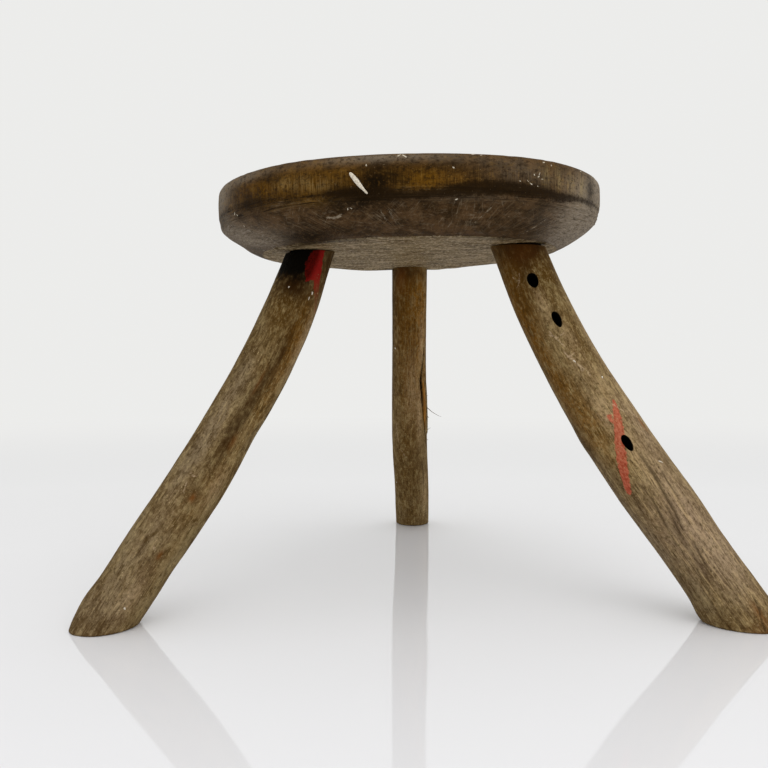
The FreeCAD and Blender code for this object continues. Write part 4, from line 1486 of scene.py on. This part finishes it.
def make_floor():
    """A wide, pale, slightly glossy floor that fades into the backdrop far away."""
    turn = circle(floor_segments)
    rings = []
    for share, height in floor_sections:
        reach = floor_radius * share
        level = np.full(len(turn), float(height))
        rings.append(np.stack([reach * np.cos(turn), reach * np.sin(turn), level], axis=1))
    floor = new_piece("floor", *stitch(rings))
    paint = Finish("floor_white")
    places = paint.places()
    sheen = paint.noise(places, floor_sheen_metres, 2)
    paint.wire(paint.shader.inputs["Base Color"], colour(*floor_colour))
    paint.wire(paint.shader.inputs["Roughness"], paint.ramp(sheen, 0.3, 0.7, *floor_roughness))
    length = paint.node("VectorMath", {0: places}, operation="LENGTH").outputs["Value"]
    rays = paint.node("LightPath", {}).outputs
    seen = paint.sum(rays["Is Camera Ray"], rays["Is Glossy Ray"], "MAXIMUM")
    seen = paint.sum(seen, rays["Is Transmission Ray"], "MAXIMUM")
    far = paint.product(paint.ramp(length, floor_fade_start, floor_fade_end), seen)
    glow = paint.node("Emission", {"Color": backdrop_tint, "Strength": backdrop_strength})
    blend = paint.node("MixShader", {0: far, 1: paint.shader.outputs[0], 2: glow.outputs[0]})
    paint.wire(paint.nodes["Material Output"].inputs["Surface"], blend.outputs[0])
    floor.data.materials.append(paint.material)


def make_light(name, place, target, width, power, tint):
    """A soft square lamp that faces its target."""
    data = bpy.data.lights.new(name, "AREA")
    data.shape = "SQUARE"
    data.size = width
    data.energy = power
    data.color = tint
    lamp = add_object(name, data)
    lamp.location = place
    lamp.visible_glossy = False
    lamp.rotation_euler = (Vector(target) - Vector(place)).to_track_quat("-Z", "Y").to_euler()


def make_world():
    """Pale surroundings."""
    world = bpy.data.worlds.new("studio")
    world.use_nodes = True
    nodes = world.node_tree.nodes
    nodes["Background"].inputs["Color"].default_value = backdrop_tint
    nodes["Background"].inputs["Strength"].default_value = backdrop_strength
    bpy.context.scene.world = world


def dress(piece, finish, node=None):
    """Gives a piece its finish, lets it ride on the stool's body and may put it in a node's place."""
    piece.data.materials.clear()
    piece.data.materials.append(finish)
    piece.data.shade_smooth()
    piece.data.set_sharp_from_angle(angle=radians(sharp_angle))
    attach(piece, "root")
    if node:
        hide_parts(node)


def add_seat(branches):
    """The seat, with its sockets cut, and its paint."""
    seat = make_seat()
    cut(seat, [socket_cutter(branch) for branch in branches])
    dress_seat(seat)
    dress(seat, seat_wood(), "seat")

    def on_seat(rows):
        """Points of the seat's skin by run and turn."""
        return from_seat(seat_place(rows[:, 1], rows[:, 0]))

    drip = old_paint("drip_paint", (214, 206, 190), (178, 166, 146))
    dress(paint_spot("paint_drip", seat, on_seat, paint_drip), drip)
    thin = old_paint("thin_paint", (198, 188, 168), (160, 146, 122))
    for number, row in enumerate(paint_specks):
        path = speck_path(row, seat_diameter / 2)
        dress(paint_spot(f"paint_speck_{number}", seat, on_seat, path), thin)
    return drip


def add_leg(branch, finish, white):
    """One leg with its holes and paint."""
    leg = make_leg(branch)
    cutters = [slot_cutter(branch)]
    if branch.name == "right_leg":
        cutters += [hole_cutter(branch, *hole) for hole in beetle_holes]
    cut(leg, cutters)
    dress_leg(leg, branch)
    dress(leg, finish, branch.name)

    def on_leg(rows):
        """Points of the leg's skin by distance and turn."""
        return branch.surface(rows[:, 0], rows[:, 1])

    for number, row in enumerate(leg_specks[branch.name]):
        path = speck_path(row, branch.girth.mean())
        dress(paint_spot(f"{branch.name}_speck_{number}", leg, on_leg, path), white)


def main():
    """Builds the stool and its stage."""
    branches = [Branch(name) for name in leg_sizes]
    white = add_seat(branches)
    bark = branch_wood()
    split_wood = wedge_wood()
    for branch in branches:
        add_leg(branch, bark, white)
        wedge = frame["nodes"][branch.name + "_wedge"]
        wedge.data.materials.clear()
        wedge.data.materials.append(split_wood)
    for row in torn_fibres:
        dress(torn_fibre(branches[-1], *row), split_wood)
    bpy.context.scene.view_settings.view_transform = "Standard"
    make_camera()
    make_floor()
    make_world()
    for lamp in lamps:
        make_light(*lamp)


main()
